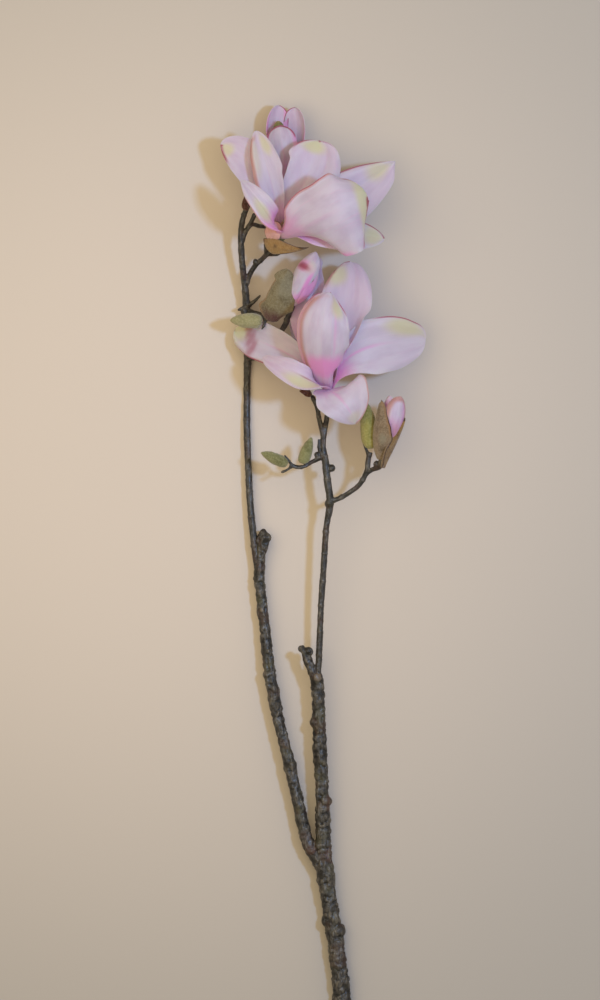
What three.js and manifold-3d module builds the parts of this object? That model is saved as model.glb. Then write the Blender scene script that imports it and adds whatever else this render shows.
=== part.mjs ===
// Cut branch of saucer magnolia, laid down on a flat surface, with its viewer above it.
// Millimetres, +Z up. The branch grows along +Y: cut end at -Y, upper bloom at +Y.
// It stands on three low places: a flat under the trunk, one under the left stem, and a low tepal.
import * as THREE from "three";
import { mergeVertices } from "three/addons/utils/BufferGeometryUtils.js";
import Module from "manifold-3d";

const wasm = await Module();
wasm.setup();

// ---- Driving dimensions ----
const tepalThickness = 0.9;
const scaleThickness = 1.1; // bud scales are leathery, so thicker than a tepal
const seatGap = 0.3; // between a piece and the wood or receptacle that carries it
const barkRelief = 0.1; // knobbly bark, as a share of the radius
const thickWood = 3.4; // radius from which the bark is knobbly
const knobbedRow = 7.5; // spacing of the rings that shape knobbly wood
const smoothRow = 14; // the same on thin stems
const spineSteps = 90; // fine steps along a blade's spine
const tipCrowding = 1.3; // above 1, a blade's rows crowd towards its tip
const receptacle = { half: 4, root: 2.6, waist: 4.2, top: 3.6 }; // the knob that tepals grow from
const tepalRing = 2.8; // radius on a receptacle at which tepals start
const budTepalRing = 1.6; // the same in a half-open bud
const stamenRings = 2;
const stamensPerRing = 8;
const carpelCount = 14;
const goldenTurn = 2.4; // radians from one carpel to the next
const toOrigin = new THREE.Vector3(-18, 85, 0); // from the drawing's zero to the base's middle

// Where each bloom and bud sits on its twig, and the way it points.
const lowerBloom = { at: vec(21.6, 89.6, 44), aim: vec(0.05, 0.8, 0.6).normalize() };
const upperBloom = { at: vec(-15.2, 209.6, 44), aim: vec(0.3, 0.78, 0.55).normalize() };
const rightBud = { at: vec(65.2, 33, 47), aim: vec(0.22, 0.97, 0.1).normalize() };
const middleBud = { at: vec(-5.6, 155.2, 45), aim: vec(0.41, 0.9, 0.1).normalize() };
const upperBud = { at: vec(-11.2, 256, 18), aim: vec(0, 1, 0.02).normalize() };

// ---- Wood: each stem as [x, y, z, radius] down its middle ----
const thickStems = {
  trunkAndRightLimb: [
    [42, -484, 8.6, 7.2],
    [36.8, -432, 6.9, 7],
    [33.6, -399, 7.2, 6.9],
    [28.8, -356, 8.6, 6.5],
    [23.2, -320, 9.8, 6.4],
    [19.2, -290, 11, 6.8],
    [18.4, -264, 12.2, 6],
    [17.6, -232, 14, 5.3],
    [16, -196, 16.2, 5.4],
    [14.8, -164, 18.4, 5.2],
    [13.4, -144, 20, 5],
    [8.8, -134, 21, 3.8],
    [4.6, -123, 22, 3.7],
    [3.4, -116.5, 22.4, 4.4],
  ],
  leftLimb: [
    [17.6, -293, 10.6, 5.6],
    [10.4, -281.6, 11.2, 5.4],
    [4.8, -269, 11.6, 4.9],
    [-0.4, -246.4, 12, 4.7],
    [-5.6, -224, 12.2, 4.7],
    [-11.2, -200, 12.2, 4.5],
    [-16.8, -177.6, 12, 4.5],
    [-21.6, -153.6, 11.6, 4.9],
    [-24.8, -132, 11.2, 4.5],
    [-27.6, -105.6, 10.8, 4.2],
    [-30.4, -81.6, 10.2, 4.2],
    [-32.6, -60, 9.8, 4.2],
    [-31.4, -45, 9.8, 3.7],
    [-29.8, -33, 10, 4.2],
    [-29, -26, 10, 4.4],
  ],
};
const thinStems = {
  rightStem: [
    [13.6, -150, 19.6, 2.6],
    [15.2, -122, 22, 2.6],
    [16.8, -84, 25, 2.5],
    [19.2, -48, 28, 2.5],
    [21.2, -20, 30.5, 2.5],
    [24, -2.4, 32, 3],
    [22, 14, 33.5, 3],
    [20.2, 30.4, 34, 2.9],
    [18.4, 44, 34, 2.4],
    [19.2, 54.4, 33.6, 2.4],
    [21.4, 66, 33, 2.1],
    [21.6, 75, 34, 2.2],
    ...endStations(lowerBloom, receptacle.half),
  ],
  leftStem: [
    [-32.6, -64, 9.6, 2.6],
    [-36, -40, 9, 2.8],
    [-37.8, -24, 8.4, 2.9],
    [-40, 0, 7.4, 2.8],
    [-41.2, 24, 6.2, 2.8],
    [-42.4, 56, 4.4, 2.8],
    [-42.4, 88, 2.3, 2.8],
    [-42, 112, 3, 3],
    [-42.4, 132, 5, 2.8],
    [-42.8, 153.6, 9, 3.2],
    [-43.6, 168, 13, 2.7],
    [-45.6, 184, 18, 2.6],
    [-46.8, 200, 22.5, 2.5],
    [-47.2, 212, 26, 2.3],
    [-45.6, 224, 29, 2.2],
    [-42.8, 231.5, 31, 2.2],
  ],
};
const twigs = {
  redBudProng: [
    [18.6, 50, 34, 2],
    [15.4, 64, 35, 1.9],
    [13.4, 74, 36, 1.8],
    [10, 82, 37, 1.7],
  ],
  leftTwig: [
    [17, 34, 34, 2.1],
    [9.6, 30.4, 35, 1.7],
    [2, 26.4, 36, 1.6],
    [-4, 26.6, 37, 1.6],
    [-8, 28.4, 37.6, 1.9],
  ],
  leftTwigProngHigh: [
    [-6.5, 27.6, 37.2, 1.3],
    [-9.6, 32.4, 37.6, 1.1],
    [-12, 35, 37.8, 0.9],
  ],
  leftTwigProngLow: [
    [-6, 27, 37.2, 1.2],
    [-11, 23.6, 37.4, 1],
    [-14.4, 22.4, 37.4, 0.9],
  ],
  rightTwig: [
    [23.6, -1.5, 32, 2.4],
    [32, 1.6, 33, 2],
    [40, 6.4, 34.6, 2],
    [46.4, 11.2, 36, 2],
    [50.8, 17.6, 37.6, 2.1],
    [53.4, 24, 39.5, 2],
    [54.4, 32, 40.6, 2.1],
    [55.6, 38, 41, 2.4],
  ],
  rightTwigProng: [
    [54.6, 35, 40.8, 1.6],
    [52.4, 41, 41.4, 1.1],
    [50.2, 46.4, 42, 0.9],
  ],
  rightBudTwig: [
    [52.4, 20.4, 38.4, 1.8],
    [57.4, 24, 41, 1.8],
    ...endStations(rightBud, 0),
  ],
  upperBloomTwig: [
    [-43, 172, 14.2, 2.3],
    [-40, 180, 17, 2.1],
    [-35.6, 187, 21, 2],
    [-30, 192.4, 26, 2],
    [-25.6, 196.4, 31.6, 2.2],
    ...endStations(upperBloom, receptacle.half),
  ],
  upperBloomTwigProng: [
    [-26, 196, 31, 1.8],
    [-20, 195.6, 33, 1.4],
    [-16.6, 196.4, 34, 1.2],
  ],
  scaleSpur: [
    [-26.6, 196.4, 31, 1.9],
    [-27.2, 200.4, 36, 1.7],
    [-27.4, 203.4, 40.6, 1.6],
  ],
  middleBudTwig: [
    [-41.6, 113.6, 4.6, 2.4],
    [-35.2, 117.6, 6.5, 2.2],
    [-26.4, 124, 10, 2.1],
    [-19.2, 129.6, 15, 2.2],
    [-14.8, 135.2, 23, 2.3],
    [-11.4, 140.6, 33, 2.3],
    [-9.6, 145.4, 40, 2.3],
    ...endStations(middleBud, 0, 2.4, 3),
  ],
  greenBudTwig: [
    [-42, 151, 9, 2],
    [-36, 149.6, 15, 1.7],
    [-30.6, 147.6, 23, 1.7],
    [-27.8, 144.6, 30, 1.8],
    [-27.4, 142.8, 34.6, 1.8],
  ],
  greenBudProng: [
    [-27.6, 143.4, 33, 1.3],
    [-28.4, 139.6, 34.8, 1],
    [-30.4, 136.4, 35, 0.8],
  ],
  upperBudTwig: [
    [-46, 206, 24, 1.9],
    [-43.2, 214.4, 26, 1.9],
    [-38.4, 219.6, 25.6, 1.7],
    [-32, 218.4, 24, 1.7],
    [-26, 218.2, 21, 1.6],
    [-19, 222.4, 16.5, 1.6],
    [-13.4, 232, 14.6, 1.7],
    ...endStations(upperBud, 0),
  ],
  forkStub: [
    [-42, 217, 25.8, 1.7],
    [-38.4, 223, 26.8, 1.6],
    [-36.4, 227, 27.4, 1.9],
  ],
  limbStub: [
    [-30.6, -40, 10, 3.2],
    [-32, -30, 9.6, 3.2],
    [-29, -24.6, 10, 4.2],
  ],
  nodeSpurHigh: [
    [-42, 118, 4, 2],
    [-45, 122, 4.2, 1.3],
    [-47.4, 124.4, 4.4, 0.9],
  ],
  ringSpurLeft: [
    [-43, 154, 9, 2],
    [-46, 153, 10, 1.5],
    [-49, 152, 10.6, 1],
  ],
  ringSpurRight: [
    [-42, 154, 9.4, 2],
    [-36.4, 158.8, 11.4, 1.3],
    [-32, 163, 12.6, 0.9],
  ],
  stemSpur: [
    [18, 34, 34, 2.2],
    [15.4, 40, 34.4, 1.3],
    [15, 47.6, 34.6, 1],
  ],
};
// Buds and leaf scars that swell the wood: [x, y, z, radius].
const knots = [
  [-37.6, 114.6, 4.2, 3.2],
  [-35, 189.6, 22, 2.5],
  [-43.4, 151, 9, 4.1],
  [25.2, 25.4, 34, 3],
  [13.6, 36, 34.2, 2.4],
  [23.4, -3, 32, 3.7],
  [-35.6, 191, 22, 1.6],
  [17.6, -276, 11.6, 7],
  [30, -344, 9.6, 6.4],
  [20.6, -302, 11.4, 6.2],
  [22.6, -336, 9.6, 5.6],
  [-25.4, -140, 12.2, 4.4],
  [-7.6, -212, 13, 4.4],
  [13, -178, 18, 4.4],
  [20.4, -240, 14, 4.6],
  [61, 28.6, 44, 2.6],
];

// ---- Tepals: spine handles from the seat, width, and how the blade bends ----
const blunt = { claw: 0.22, shoulder: 0.66, point: 2.3, tip: 0.25 };
const narrow = { claw: 0.5, shoulder: 0.5, point: 1.75 };
const hidden = { width: 34, columns: 4, rows: 5 }; // behind the others, so with fewer facets
const lowerTepals = {
  right: {
    spine: [[10.4, 30.4, 18], [36, 39, 16], [78.5, 39.5, -18]],
    facing: [-0.1, -0.1, 1],
    width: 47,
    shape: blunt,
  },
  backRight: {
    spine: [[4.8, 34.4, 2], [20, 70.4, 2], [18, 100.4, -10]],
    facing: [0, 0, 1],
    width: 43,
  },
  backLeft: {
    spine: [[-7.2, 30.4, -4], [-22, 66.4, -14], [-6.4, 105.6, -24]],
    facing: [0, 0, 1],
    width: 36,
  },
  frontInner: {
    spine: [[-4, 12.8, 34], [-6.5, 52, 60], [3, 74.4, 36]],
    facing: [0.1, 0.35, -0.9],
    width: 48,
    cup: [0.9, 0.7],
    shape: { claw: 0.46, shoulder: 0.62, point: 1.9 },
  },
  left: {
    spine: [[-21.6, 30, 12], [-50, 32, -12], [-73, 47, -32]],
    facing: [0.2, -0.1, 1],
    width: 32,
    shape: blunt,
  },
  frontLeft: {
    spine: [[-12, 4.4, 28], [-29.6, 14, 32], [-51, 24, 8]],
    facing: [0, 0.25, 1],
    width: 25,
    shape: narrow,
  },
  front: {
    spine: [[2, -5, 17], [14, -9, 35], [22.4, -29.4, 9]],
    width: 54,
    cup: [0.35, 0.3],
    shape: { claw: 0.3, shoulder: 0.5, point: 1.5 },
  },
  lowRight: {
    spine: [[14.4, 17.6, -24], [32.8, 28.8, -44], [55.2, 38.4, -44]],
    facing: [-0.1, 0, 1],
    ...hidden,
  },
  lowLeft: {
    spine: [[-4, 20, -22], [-16, 50, -36], [-19, 70, -40]],
    facing: [0.1, 0, 1],
    ...hidden,
  },
};
const upperTepals = {
  left: {
    spine: [[-8.4, 30.4, 0], [-22, 69, -2], [-48, 73.5, -6]],
    facing: [0.2, -0.1, 1],
    width: 32,
  },
  leftCentre: {
    spine: [[-1.6, 26.4, 10], [-12, 58.4, 14], [-20, 84, 2]],
    facing: [0.1, 0, 1],
    width: 26,
    shape: { claw: 0.3, shoulder: 0.55, point: 1.7 },
  },
  top: {
    spine: [[5.6, 26.4, 2], [26.8, 50.8, 4], [31.4, 76.4, -2]],
    facing: [0, 0, 1],
    width: 47,
    shape: blunt,
  },
  frontRight: {
    spine: [[12.8, 1.6, 38], [43.2, 24, 66], [69.4, 29, 38]],
    facing: [-0.25, 0.3, -0.9],
    width: 62,
    cup: [0.9, 0.7],
    shape: { claw: 0.42, shoulder: 0.66, point: 3, tip: 0.5 },
  },
  right: {
    spine: [[23.2, 18.4, 4], [60.2, 34.4, 6], [90.6, 56.6, -8]],
    facing: [0, 0, 1],
    width: 46,
  },
  bottomRight: {
    spine: [[19.2, -1.4, 18], [50, -5.4, 18], [84, 2.4, -2]],
    facing: [0, 0.2, 1],
    width: 30,
    shape: { claw: 0.4, shoulder: 0.6, point: 1.7 },
  },
  frontLeft: {
    spine: [[-4, 10, 30], [-15.2, 25, 46], [-31.2, 44, 30]],
    facing: [0.3, 0.2, 1],
    width: 20,
    shape: narrow,
  },
  low: {
    spine: [[7.2, 18.4, -14], [27.2, 42.4, -24], [40.8, 64, -28]],
    facing: [0, 0, 1],
    ...hidden,
  },
  lowRight: {
    spine: [[13.6, 8, -16], [39.2, 18.4, -36], [69.6, 28, -40]],
    facing: [0, 0, 1],
    ...hidden,
  },
};
const lobe = { cup: [1, 0.7], shape: { claw: 0.2, shoulder: 0.68, point: 2.4 }, columns: 5 };
const upperBudTepals = {
  front: {
    spine: [[0, 12, 15], [-3, 28, 18], [-6, 42, 10]],
    facing: [0, 0, -1],
    width: 29,
    ...lobe,
  },
  backLeft: {
    spine: [[-8, 16, -4], [-13, 40, -6], [-5, 59, -3]],
    facing: [0.5, 0, 0.8],
    width: 23,
    ...lobe,
  },
  backRight: {
    spine: [[8, 16, -5], [11, 38, -7], [7, 57.5, -2]],
    facing: [-0.5, 0, 0.8],
    width: 23,
    ...lobe,
  },
};

// ---- Shaping ----
function vec(x, y, z) {
  return new THREE.Vector3(x, y, z);
}

// The last stretch of a twig runs straight along the bloom's axis and stops under it.
function endStations(seat, half, radius = 2.4, straight = 6) {
  const at = (back) => seat.at.clone().addScaledVector(seat.aim, -half - seatGap - back).toArray();
  return [[...at(straight), radius], [...at(0), radius]];
}

// A closed geometry becomes a solid for joining and cutting.
function toSolid(geometry) {
  const bare = geometry.clone();
  bare.deleteAttribute("normal");
  bare.deleteAttribute("uv");
  const merged = mergeVertices(bare, 1e-4);
  const mesh = new wasm.Mesh({
    numProp: 3,
    vertProperties: new Float32Array(merged.attributes.position.array),
    triVerts: new Uint32Array(merged.index.array),
  });
  return new wasm.Manifold(mesh);
}

// Joined solids, with any hollow that joining seals filled and any loose scrap dropped.
function join(solids) {
  const sum = solids.reduce((all, solid) => all.add(solid));
  return sum.decompose().reduce((largest, each) => (each.volume() > largest.volume() ? each : largest));
}

// What stands on the surface gets a small flat there.
function flattenBelow(solid) {
  return solid.trimByPlane([0, 0, 1], 0);
}

// A round stem along its stations, with knobbly bark where it is thick.
function sweep(stations, sides, spacing, relief = 0) {
  const curve = new THREE.CatmullRomCurve3(stations.map(([x, y, z]) => vec(x, y, z)), false);
  const rows = Math.max(3, Math.round(curve.getLength() / spacing));
  const frames = curve.computeFrenetFrames(rows, false);
  const geometry = new THREE.CylinderGeometry(1, 1, 1, sides, rows);
  const position = geometry.attributes.position;
  for (let i = 0; i < position.count; i++) {
    const row = Math.round((position.getY(i) + 0.5) * rows);
    const along = curve.getUtoTmapping(row / rows);
    const place = along * (stations.length - 1);
    const low = Math.min(Math.floor(place), stations.length - 2);
    const radius = THREE.MathUtils.lerp(stations[low][3], stations[low + 1][3], place - low);
    const angle = Math.atan2(position.getZ(i), position.getX(i));
    const bump = Math.sin(2.1 * row + 2 * angle) + Math.sin(3.7 * row - 3 * angle + 1);
    const reach = radius * (radius > thickWood ? 1 + relief * bump : 1);
    const point = curve
      .getPoint(along)
      .addScaledVector(frames.normals[row], position.getX(i) * reach)
      .addScaledVector(frames.binormals[row], -position.getZ(i) * reach);
    position.setXYZ(i, ...point.toArray());
  }
  return toSolid(geometry);
}

function knot([x, y, z, radius]) {
  return toSolid(new THREE.IcosahedronGeometry(radius, 0).translate(x, y, z));
}

// Half-width of a blade along its length: a narrow claw, a broad shoulder and a blunt point.
function outline(t, { claw = 0.24, shoulder = 0.62, point = 1.9, tip = 0.05 }) {
  if (t < shoulder) {
    return claw + (1 - claw) * Math.sin((t / shoulder) * (Math.PI / 2)) ** 1.5;
  }
  const past = (t - shoulder) / (1 - shoulder);
  return Math.max(tip, (1 - past ** point) ** (1 / point));
}

// The way the inner side faces along a spine: carried from its root, or turned to a given way.
function facingNormals(spine, inner, facing) {
  const normals = [];
  let carried = inner.clone().normalize();
  for (let i = 0; i <= spineSteps; i++) {
    const tangent = spine.getTangent(i / spineSteps);
    const normal = carried.clone();
    if (facing) normal.lerp(vec(...facing).normalize(), THREE.MathUtils.smoothstep(i / spineSteps, 0, 0.5));
    normal.addScaledVector(tangent, -normal.dot(tangent)).normalize();
    if (!facing) carried = normal;
    normals.push(normal);
  }
  return normals;
}

// A thin curved blade along a spine, cupped towards its inner side.
function blade({ spine, inner, facing, width, cup = [0.75, 0.4], shape = {}, thick, ...counts }) {
  const { columns = 6, rows = 7 } = counts;
  const normals = facingNormals(spine, inner, facing);
  const surface = (u, t) => {
    const clamped = THREE.MathUtils.clamp(t, 0, 1);
    const tangent = spine.getTangent(clamped);
    const normal = normals[Math.round(clamped * spineSteps)];
    const side = tangent.clone().cross(normal).normalize();
    const half = (width / 2) * outline(clamped, shape);
    const bend = THREE.MathUtils.lerp(cup[0], cup[1], clamped);
    const across = (half / bend) * Math.sin(bend * u);
    const deep = (half / bend) * (1 - Math.cos(bend * u));
    return spine.getPoint(clamped).addScaledVector(side, across).addScaledVector(normal, deep);
  };
  const corners = [];
  const delta = 0.01;
  for (const face of [0.5, -0.5]) {
    for (let i = 0; i <= rows; i++) {
      const t = 1 - (1 - i / rows) ** tipCrowding;
      for (let j = 0; j <= columns; j++) {
        const u = (2 * j) / columns - 1;
        const du = surface(u + delta, t).sub(surface(u - delta, t));
        const dt = surface(u, Math.min(t + delta, 1)).sub(surface(u, Math.max(t - delta, 0)));
        const normal = du.cross(dt).normalize();
        corners.push(...surface(u, t).addScaledVector(normal, face * thick).toArray());
      }
    }
  }
  const stride = columns + 1;
  const back = stride * (rows + 1);
  const faces = [];
  for (let i = 0; i < rows; i++) {
    for (let j = 0; j < columns; j++) {
      const a = i * stride + j;
      const [b, c, d] = [a + 1, a + stride + 1, a + stride];
      faces.push(a, b, c, a, c, d, a + back, c + back, b + back, a + back, d + back, c + back);
    }
  }
  const rim = [];
  for (let j = 0; j < columns; j++) rim.push(j);
  for (let i = 0; i < rows; i++) rim.push(i * stride + columns);
  for (let j = columns; j > 0; j--) rim.push(rows * stride + j);
  for (let i = rows; i > 0; i--) rim.push(i * stride);
  rim.forEach((p, k) => {
    const q = rim[(k + 1) % rim.length];
    faces.push(p, p + back, q + back, p, q + back, q);
  });
  const geometry = new THREE.BufferGeometry();
  geometry.setAttribute("position", new THREE.Float32BufferAttribute(corners, 3));
  geometry.setIndex(faces);
  return toSolid(geometry);
}

// A tepal starts on the side of its receptacle and follows its handles.
function tepal(seat, radius, { spine, ...options }) {
  const [first, second, tip] = spine.map((handle) => vec(...handle).add(seat.at));
  const outward = first.clone().sub(seat.at);
  outward.addScaledVector(seat.aim, -outward.dot(seat.aim)).normalize();
  const start = seat.at.clone().addScaledVector(outward, radius);
  const curve = new THREE.CubicBezierCurve3(start, first, second, tip);
  const inner = seat.aim.clone().sub(outward);
  return blade({ spine: curve, inner, thick: tepalThickness, ...options });
}

// A closed bud's tepal or scale wraps round the bud's axis at the turn given.
function wrapped(seat, { turn, length, girth, wrap, gap = 0, close, thick = tepalThickness, ...options }) {
  const across = vec(0, 0, 1).cross(seat.aim).normalize();
  const outward = across.applyAxisAngle(seat.aim, turn);
  const at = (along, out) =>
    seat.at.clone().addScaledVector(seat.aim, length * along).addScaledVector(outward, girth * out + gap);
  const curve = new THREE.CubicBezierCurve3(at(0.02, 0.12), at(0.2, 1.35), at(0.72, 1.3), at(1, close));
  const inner = outward.clone().negate();
  const width = 2 * wrap * (girth + gap);
  return blade({ spine: curve, inner, width, cup: [wrap, wrap], thick, ...options });
}

// A seat at one point that aims at another, and how far apart they are.
function between(base, tip) {
  const at = vec(...base);
  const aim = vec(...tip).sub(at);
  const length = aim.length();
  return { seat: { at, aim: aim.normalize() }, length };
}

// A profile of [radius, height] turned round a seat's axis.
function turned(profile, sides, seat) {
  const geometry = new THREE.LatheGeometry(profile.map(([r, h]) => new THREE.Vector2(r, h)), sides);
  const turn = new THREE.Quaternion().setFromUnitVectors(vec(0, 1, 0), seat.aim);
  return geometry.applyQuaternion(turn).translate(...seat.at.toArray());
}

function receptacleKnob(seat) {
  const { half, root, waist, top } = receptacle;
  return toSolid(turned([[0, -half], [root, -half], [waist, 0], [top, half], [0, half]], 9, seat));
}

// ---- Pieces ----
function branchWood() {
  const thick = Object.values(thickStems).map((stem) => sweep(stem, 7, knobbedRow, barkRelief));
  const thin = Object.values(thinStems).map((stem) => sweep(stem, 6, smoothRow));
  const small = Object.values(twigs).map((stem) => sweep(stem, 5, 9));
  return flattenBelow(join([...thick, ...thin, ...small, ...knots.map(knot)]));
}

function bloomTepals(seat, tepals) {
  return join([receptacleKnob(seat), ...Object.values(tepals).map((each) => tepal(seat, tepalRing, each))]);
}

// Stamens stand in rings round the foot of the carpels, on a low disc.
function stamens(seat) {
  const base = { at: seat.at.clone().addScaledVector(seat.aim, receptacle.half + seatGap), aim: seat.aim };
  const disc = toSolid(turned([[0, 0], [3.4, 0], [3.8, 1.2], [2.9, 3], [0, 3]], 8, base));
  const clubs = [];
  for (let ring = 0; ring < stamenRings; ring++) {
    for (let i = 0; i < stamensPerRing; i++) {
      const club = new THREE.CylinderGeometry(0.4, 0.7, 4.4, 3).translate(0, 2, 0);
      club.rotateZ(-0.55 + 0.3 * ring).translate(2.6 - 0.3 * ring, 1.2 + 0.9 * ring, 0);
      club.rotateY(((i + ring / 2) / stamensPerRing) * 2 * Math.PI);
      club.applyQuaternion(new THREE.Quaternion().setFromUnitVectors(vec(0, 1, 0), base.aim));
      clubs.push(toSolid(club.translate(...base.at.toArray())));
    }
  }
  return join([disc, ...clubs]);
}

// The carpels cover a cone, each with a hooked beak.
function carpels(seat) {
  const foot = receptacle.half + 3 + 2 * seatGap;
  const base = { at: seat.at.clone().addScaledVector(seat.aim, foot), aim: seat.aim };
  const cone = toSolid(turned([[0, 0], [1.7, 0], [2, 3], [1.4, 8], [0, 11]], 7, base));
  const beaks = [];
  for (let i = 0; i < carpelCount; i++) {
    const share = i / carpelCount;
    const beak = new THREE.ConeGeometry(0.8, 3, 3).translate(0, 1.1, 0).rotateZ(-0.7);
    beak.translate(1.5 - 0.9 * share, 1.2 + 8 * share, 0).rotateY(i * goldenTurn);
    beak.applyQuaternion(new THREE.Quaternion().setFromUnitVectors(vec(0, 1, 0), base.aim));
    beaks.push(toSolid(beak.translate(...base.at.toArray())));
  }
  return join([cone, ...beaks]);
}

// A half-open bud: a few upright tepals round a furled core.
function openBud(seat, tepals, length) {
  const furled = [[0, 0], [2.6, 0], [4.4, length * 0.3], [3.6, length * 0.6], [0, length * 0.8]];
  const lobes = Object.values(tepals).map((each) => tepal(seat, budTepalRing, each));
  return join([toSolid(turned(furled, 8, seat)), ...lobes]);
}

// A closed bud: tepals furled round a spindle.
function closedBud(seat, length, girth, turns, close) {
  const waist = girth * 0.72;
  const neck = girth * 0.66;
  const furled = [[0, 0], [2.4, 0], [waist, length * 0.3], [neck, length * 0.62], [0, length * 0.93]];
  const shape = { claw: 0.3, shoulder: 0.6, point: 2.3, tip: close };
  const options = { girth, wrap: 1.05, close, shape, columns: 4, rows: 5 };
  const shorter = (i) => length * (1 - 0.05 * i);
  const wraps = turns.map((turn, i) => wrapped(seat, { turn, length: shorter(i), ...options }));
  return join([toSolid(turned(furled, 8, seat)), ...wraps]);
}

// A green felted bud: a pointed spindle with the edge of its scale standing proud.
function feltedBud(base, tip, girth) {
  const { seat, length } = between(base, tip);
  const waist = girth * 0.86;
  const neck = girth * 0.8;
  const spindle = [[0, 0], [1.6, 0], [waist, length * 0.24], [neck, length * 0.6], [0, length]];
  const shape = { claw: 0.4, shoulder: 0.45, point: 1.6 };
  const options = { length, girth: girth * 0.95, wrap: 1.2, thick: 0.8, close: 0.12, shape };
  const scale = wrapped(seat, { turn: 1.2, columns: 4, rows: 5, ...options });
  return join([toSolid(turned(spindle, 8, seat)), scale]);
}

// A small leaf bud: two pointed scales closed on each other.
function leafBud(base, tip, girth, close) {
  const { seat, length } = between(base, tip);
  const core = toSolid(turned([[0, 0], [girth * 0.6, 0], [girth, length * 0.3], [0, length]], 7, seat));
  const shape = { claw: 0.5, shoulder: 0.35, point: 1.3 };
  const options = { length: length * 0.8, girth, wrap: 0.8, thick: 0.7, shape, close, columns: 2, rows: 3 };
  return join([core, wrapped(seat, { turn: 0.6, ...options }), wrapped(seat, { turn: 3.6, ...options })]);
}

// A bud scale that has opened away from the bud it covered.
function openScale(points, options) {
  const spine = new THREE.CubicBezierCurve3(...points.map((point) => vec(...point)));
  return blade({ spine, inner: vec(...options.facing), thick: scaleThickness, ...options });
}

// ---- Finishes ----
const finish = (color, roughness) => new THREE.MeshStandardMaterial({ color, roughness, metalness: 0 });
const bark = finish(0x57524f, 0.85);
const tepalPink = finish(0xd9bfd3, 0.55);
const stamenPink = finish(0xb9607f, 0.6);
const carpelGreen = finish(0xa9b070, 0.6);
const greenFelt = finish(0x84834f, 0.95);
const brownFelt = finish(0x6f6347, 0.95);
const ochreFelt = finish(0x93724a, 0.95);
const budRed = finish(0x6e3b33, 0.7);

// ---- The branch ----
const branch = new THREE.Group();
branch.name = "saucer_magnolia_branch";
branch.position.copy(toOrigin);

function addPiece(name, solid, material) {
  const { vertProperties, triVerts } = solid.getMesh();
  const geometry = new THREE.BufferGeometry();
  geometry.setAttribute("position", new THREE.Float32BufferAttribute(vertProperties, 3));
  geometry.setIndex([...triVerts]);
  geometry.computeVertexNormals();
  const mesh = new THREE.Mesh(geometry, material);
  mesh.name = name;
  branch.add(mesh);
}

addPiece("branch_wood", branchWood(), bark);
addPiece("upper_bloom_tepals", bloomTepals(upperBloom, upperTepals), tepalPink);
addPiece("upper_bloom_stamens", stamens(upperBloom), stamenPink);
addPiece("upper_bloom_carpels", carpels(upperBloom), carpelGreen);
addPiece("lower_bloom_tepals", flattenBelow(bloomTepals(lowerBloom, lowerTepals)), tepalPink);
addPiece("lower_bloom_stamens", stamens(lowerBloom), stamenPink);
addPiece("lower_bloom_carpels", carpels(lowerBloom), carpelGreen);
addPiece("upper_bud_tepals", openBud(upperBud, upperBudTepals, 50), tepalPink);
addPiece("middle_bud_tepals", closedBud(middleBud, 46, 9.4, [0.3, 2.4, 4.5], 0.12), tepalPink);
addPiece("right_bud_tepals", closedBud(rightBud, 52, 8.8, [2.2, 4.3, 0.1], 0.5), tepalPink);
addPiece("fuzzy_bud_right", feltedBud([55.7, 40.6, 41], [50.8, 78.4, 44], 5.8), greenFelt);
addPiece("fuzzy_bud_twig_low", feltedBud([-9.8, 28.6, 38], [-31.2, 37.8, 40], 5), greenFelt);
addPiece("fuzzy_bud_twig_high", feltedBud([1.6, 29, 37.6], [9.2, 49.6, 42], 5.2), greenFelt);
addPiece("fuzzy_bud_left", feltedBud([-29.8, 142.6, 34.6], [-54.4, 144, 36], 5.6), greenFelt);
addPiece("leaf_bud_top", leafBud([-43, 232.6, 31.3], [-43.4, 244, 34.5], 3, 0.3), budRed);
addPiece("leaf_bud_red", leafBud([9.2, 82.9, 37.2], [-1.6, 90.4, 40], 2.6, 0.9), budRed);
addPiece(
  "upper_bloom_scale_outer",
  openScale([[-28.2, 204.4, 41.8], [-27, 203, 50], [-8, 196, 55], [6, 200.6, 50]], {
    facing: [0, 0.3, -1],
    width: 16,
    cup: [0.9, 0.8],
    shape: { claw: 0.5, shoulder: 0.36, point: 1.05 },
  }),
  ochreFelt,
);
addPiece(
  "upper_bloom_scale_inner",
  openScale([[-21.2, 206, 40], [-22.6, 209, 36], [-21, 215, 35], [-17, 221, 35]], {
    facing: [0.2, 0, 1],
    width: 15,
    cup: [0.6, 0.5],
    shape: { claw: 0.2, shoulder: 0.5, point: 2.4 },
    columns: 4,
    rows: 5,
  }),
  brownFelt,
);
addPiece(
  "middle_bud_scale",
  openScale([[-13.6, 144.8, 39.4], [-22.5, 146.4, 47], [-25, 164, 56], [-10.4, 184.4, 53]], {
    facing: [0.3, 0, -1],
    width: 26,
    cup: [0.8, 0.6],
    shape: { claw: 0.3, shoulder: 0.45, point: 2.6 },
  }),
  brownFelt,
);
const closedScale = { girth: 8.8, thick: scaleThickness, columns: 5, rows: 6 };
addPiece(
  "right_bud_scale_left",
  wrapped(rightBud, {
    turn: 0.85,
    length: 46,
    wrap: 0.95,
    gap: 2.4,
    close: 0.75,
    shape: { claw: 0.4, shoulder: 0.4, point: 1.5 },
    ...closedScale,
  }),
  brownFelt,
);
addPiece(
  "right_bud_scale_right",
  wrapped(rightBud, {
    turn: 2.75,
    length: 36,
    wrap: 0.85,
    gap: 2.8,
    close: 0.9,
    shape: { claw: 0.4, shoulder: 0.5, point: 1.6 },
    ...closedScale,
  }),
  ochreFelt,
);

export default branch;
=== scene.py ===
import math
import random

import bpy
from mathutils import Matrix, Quaternion, Vector, kdtree, noise


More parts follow.
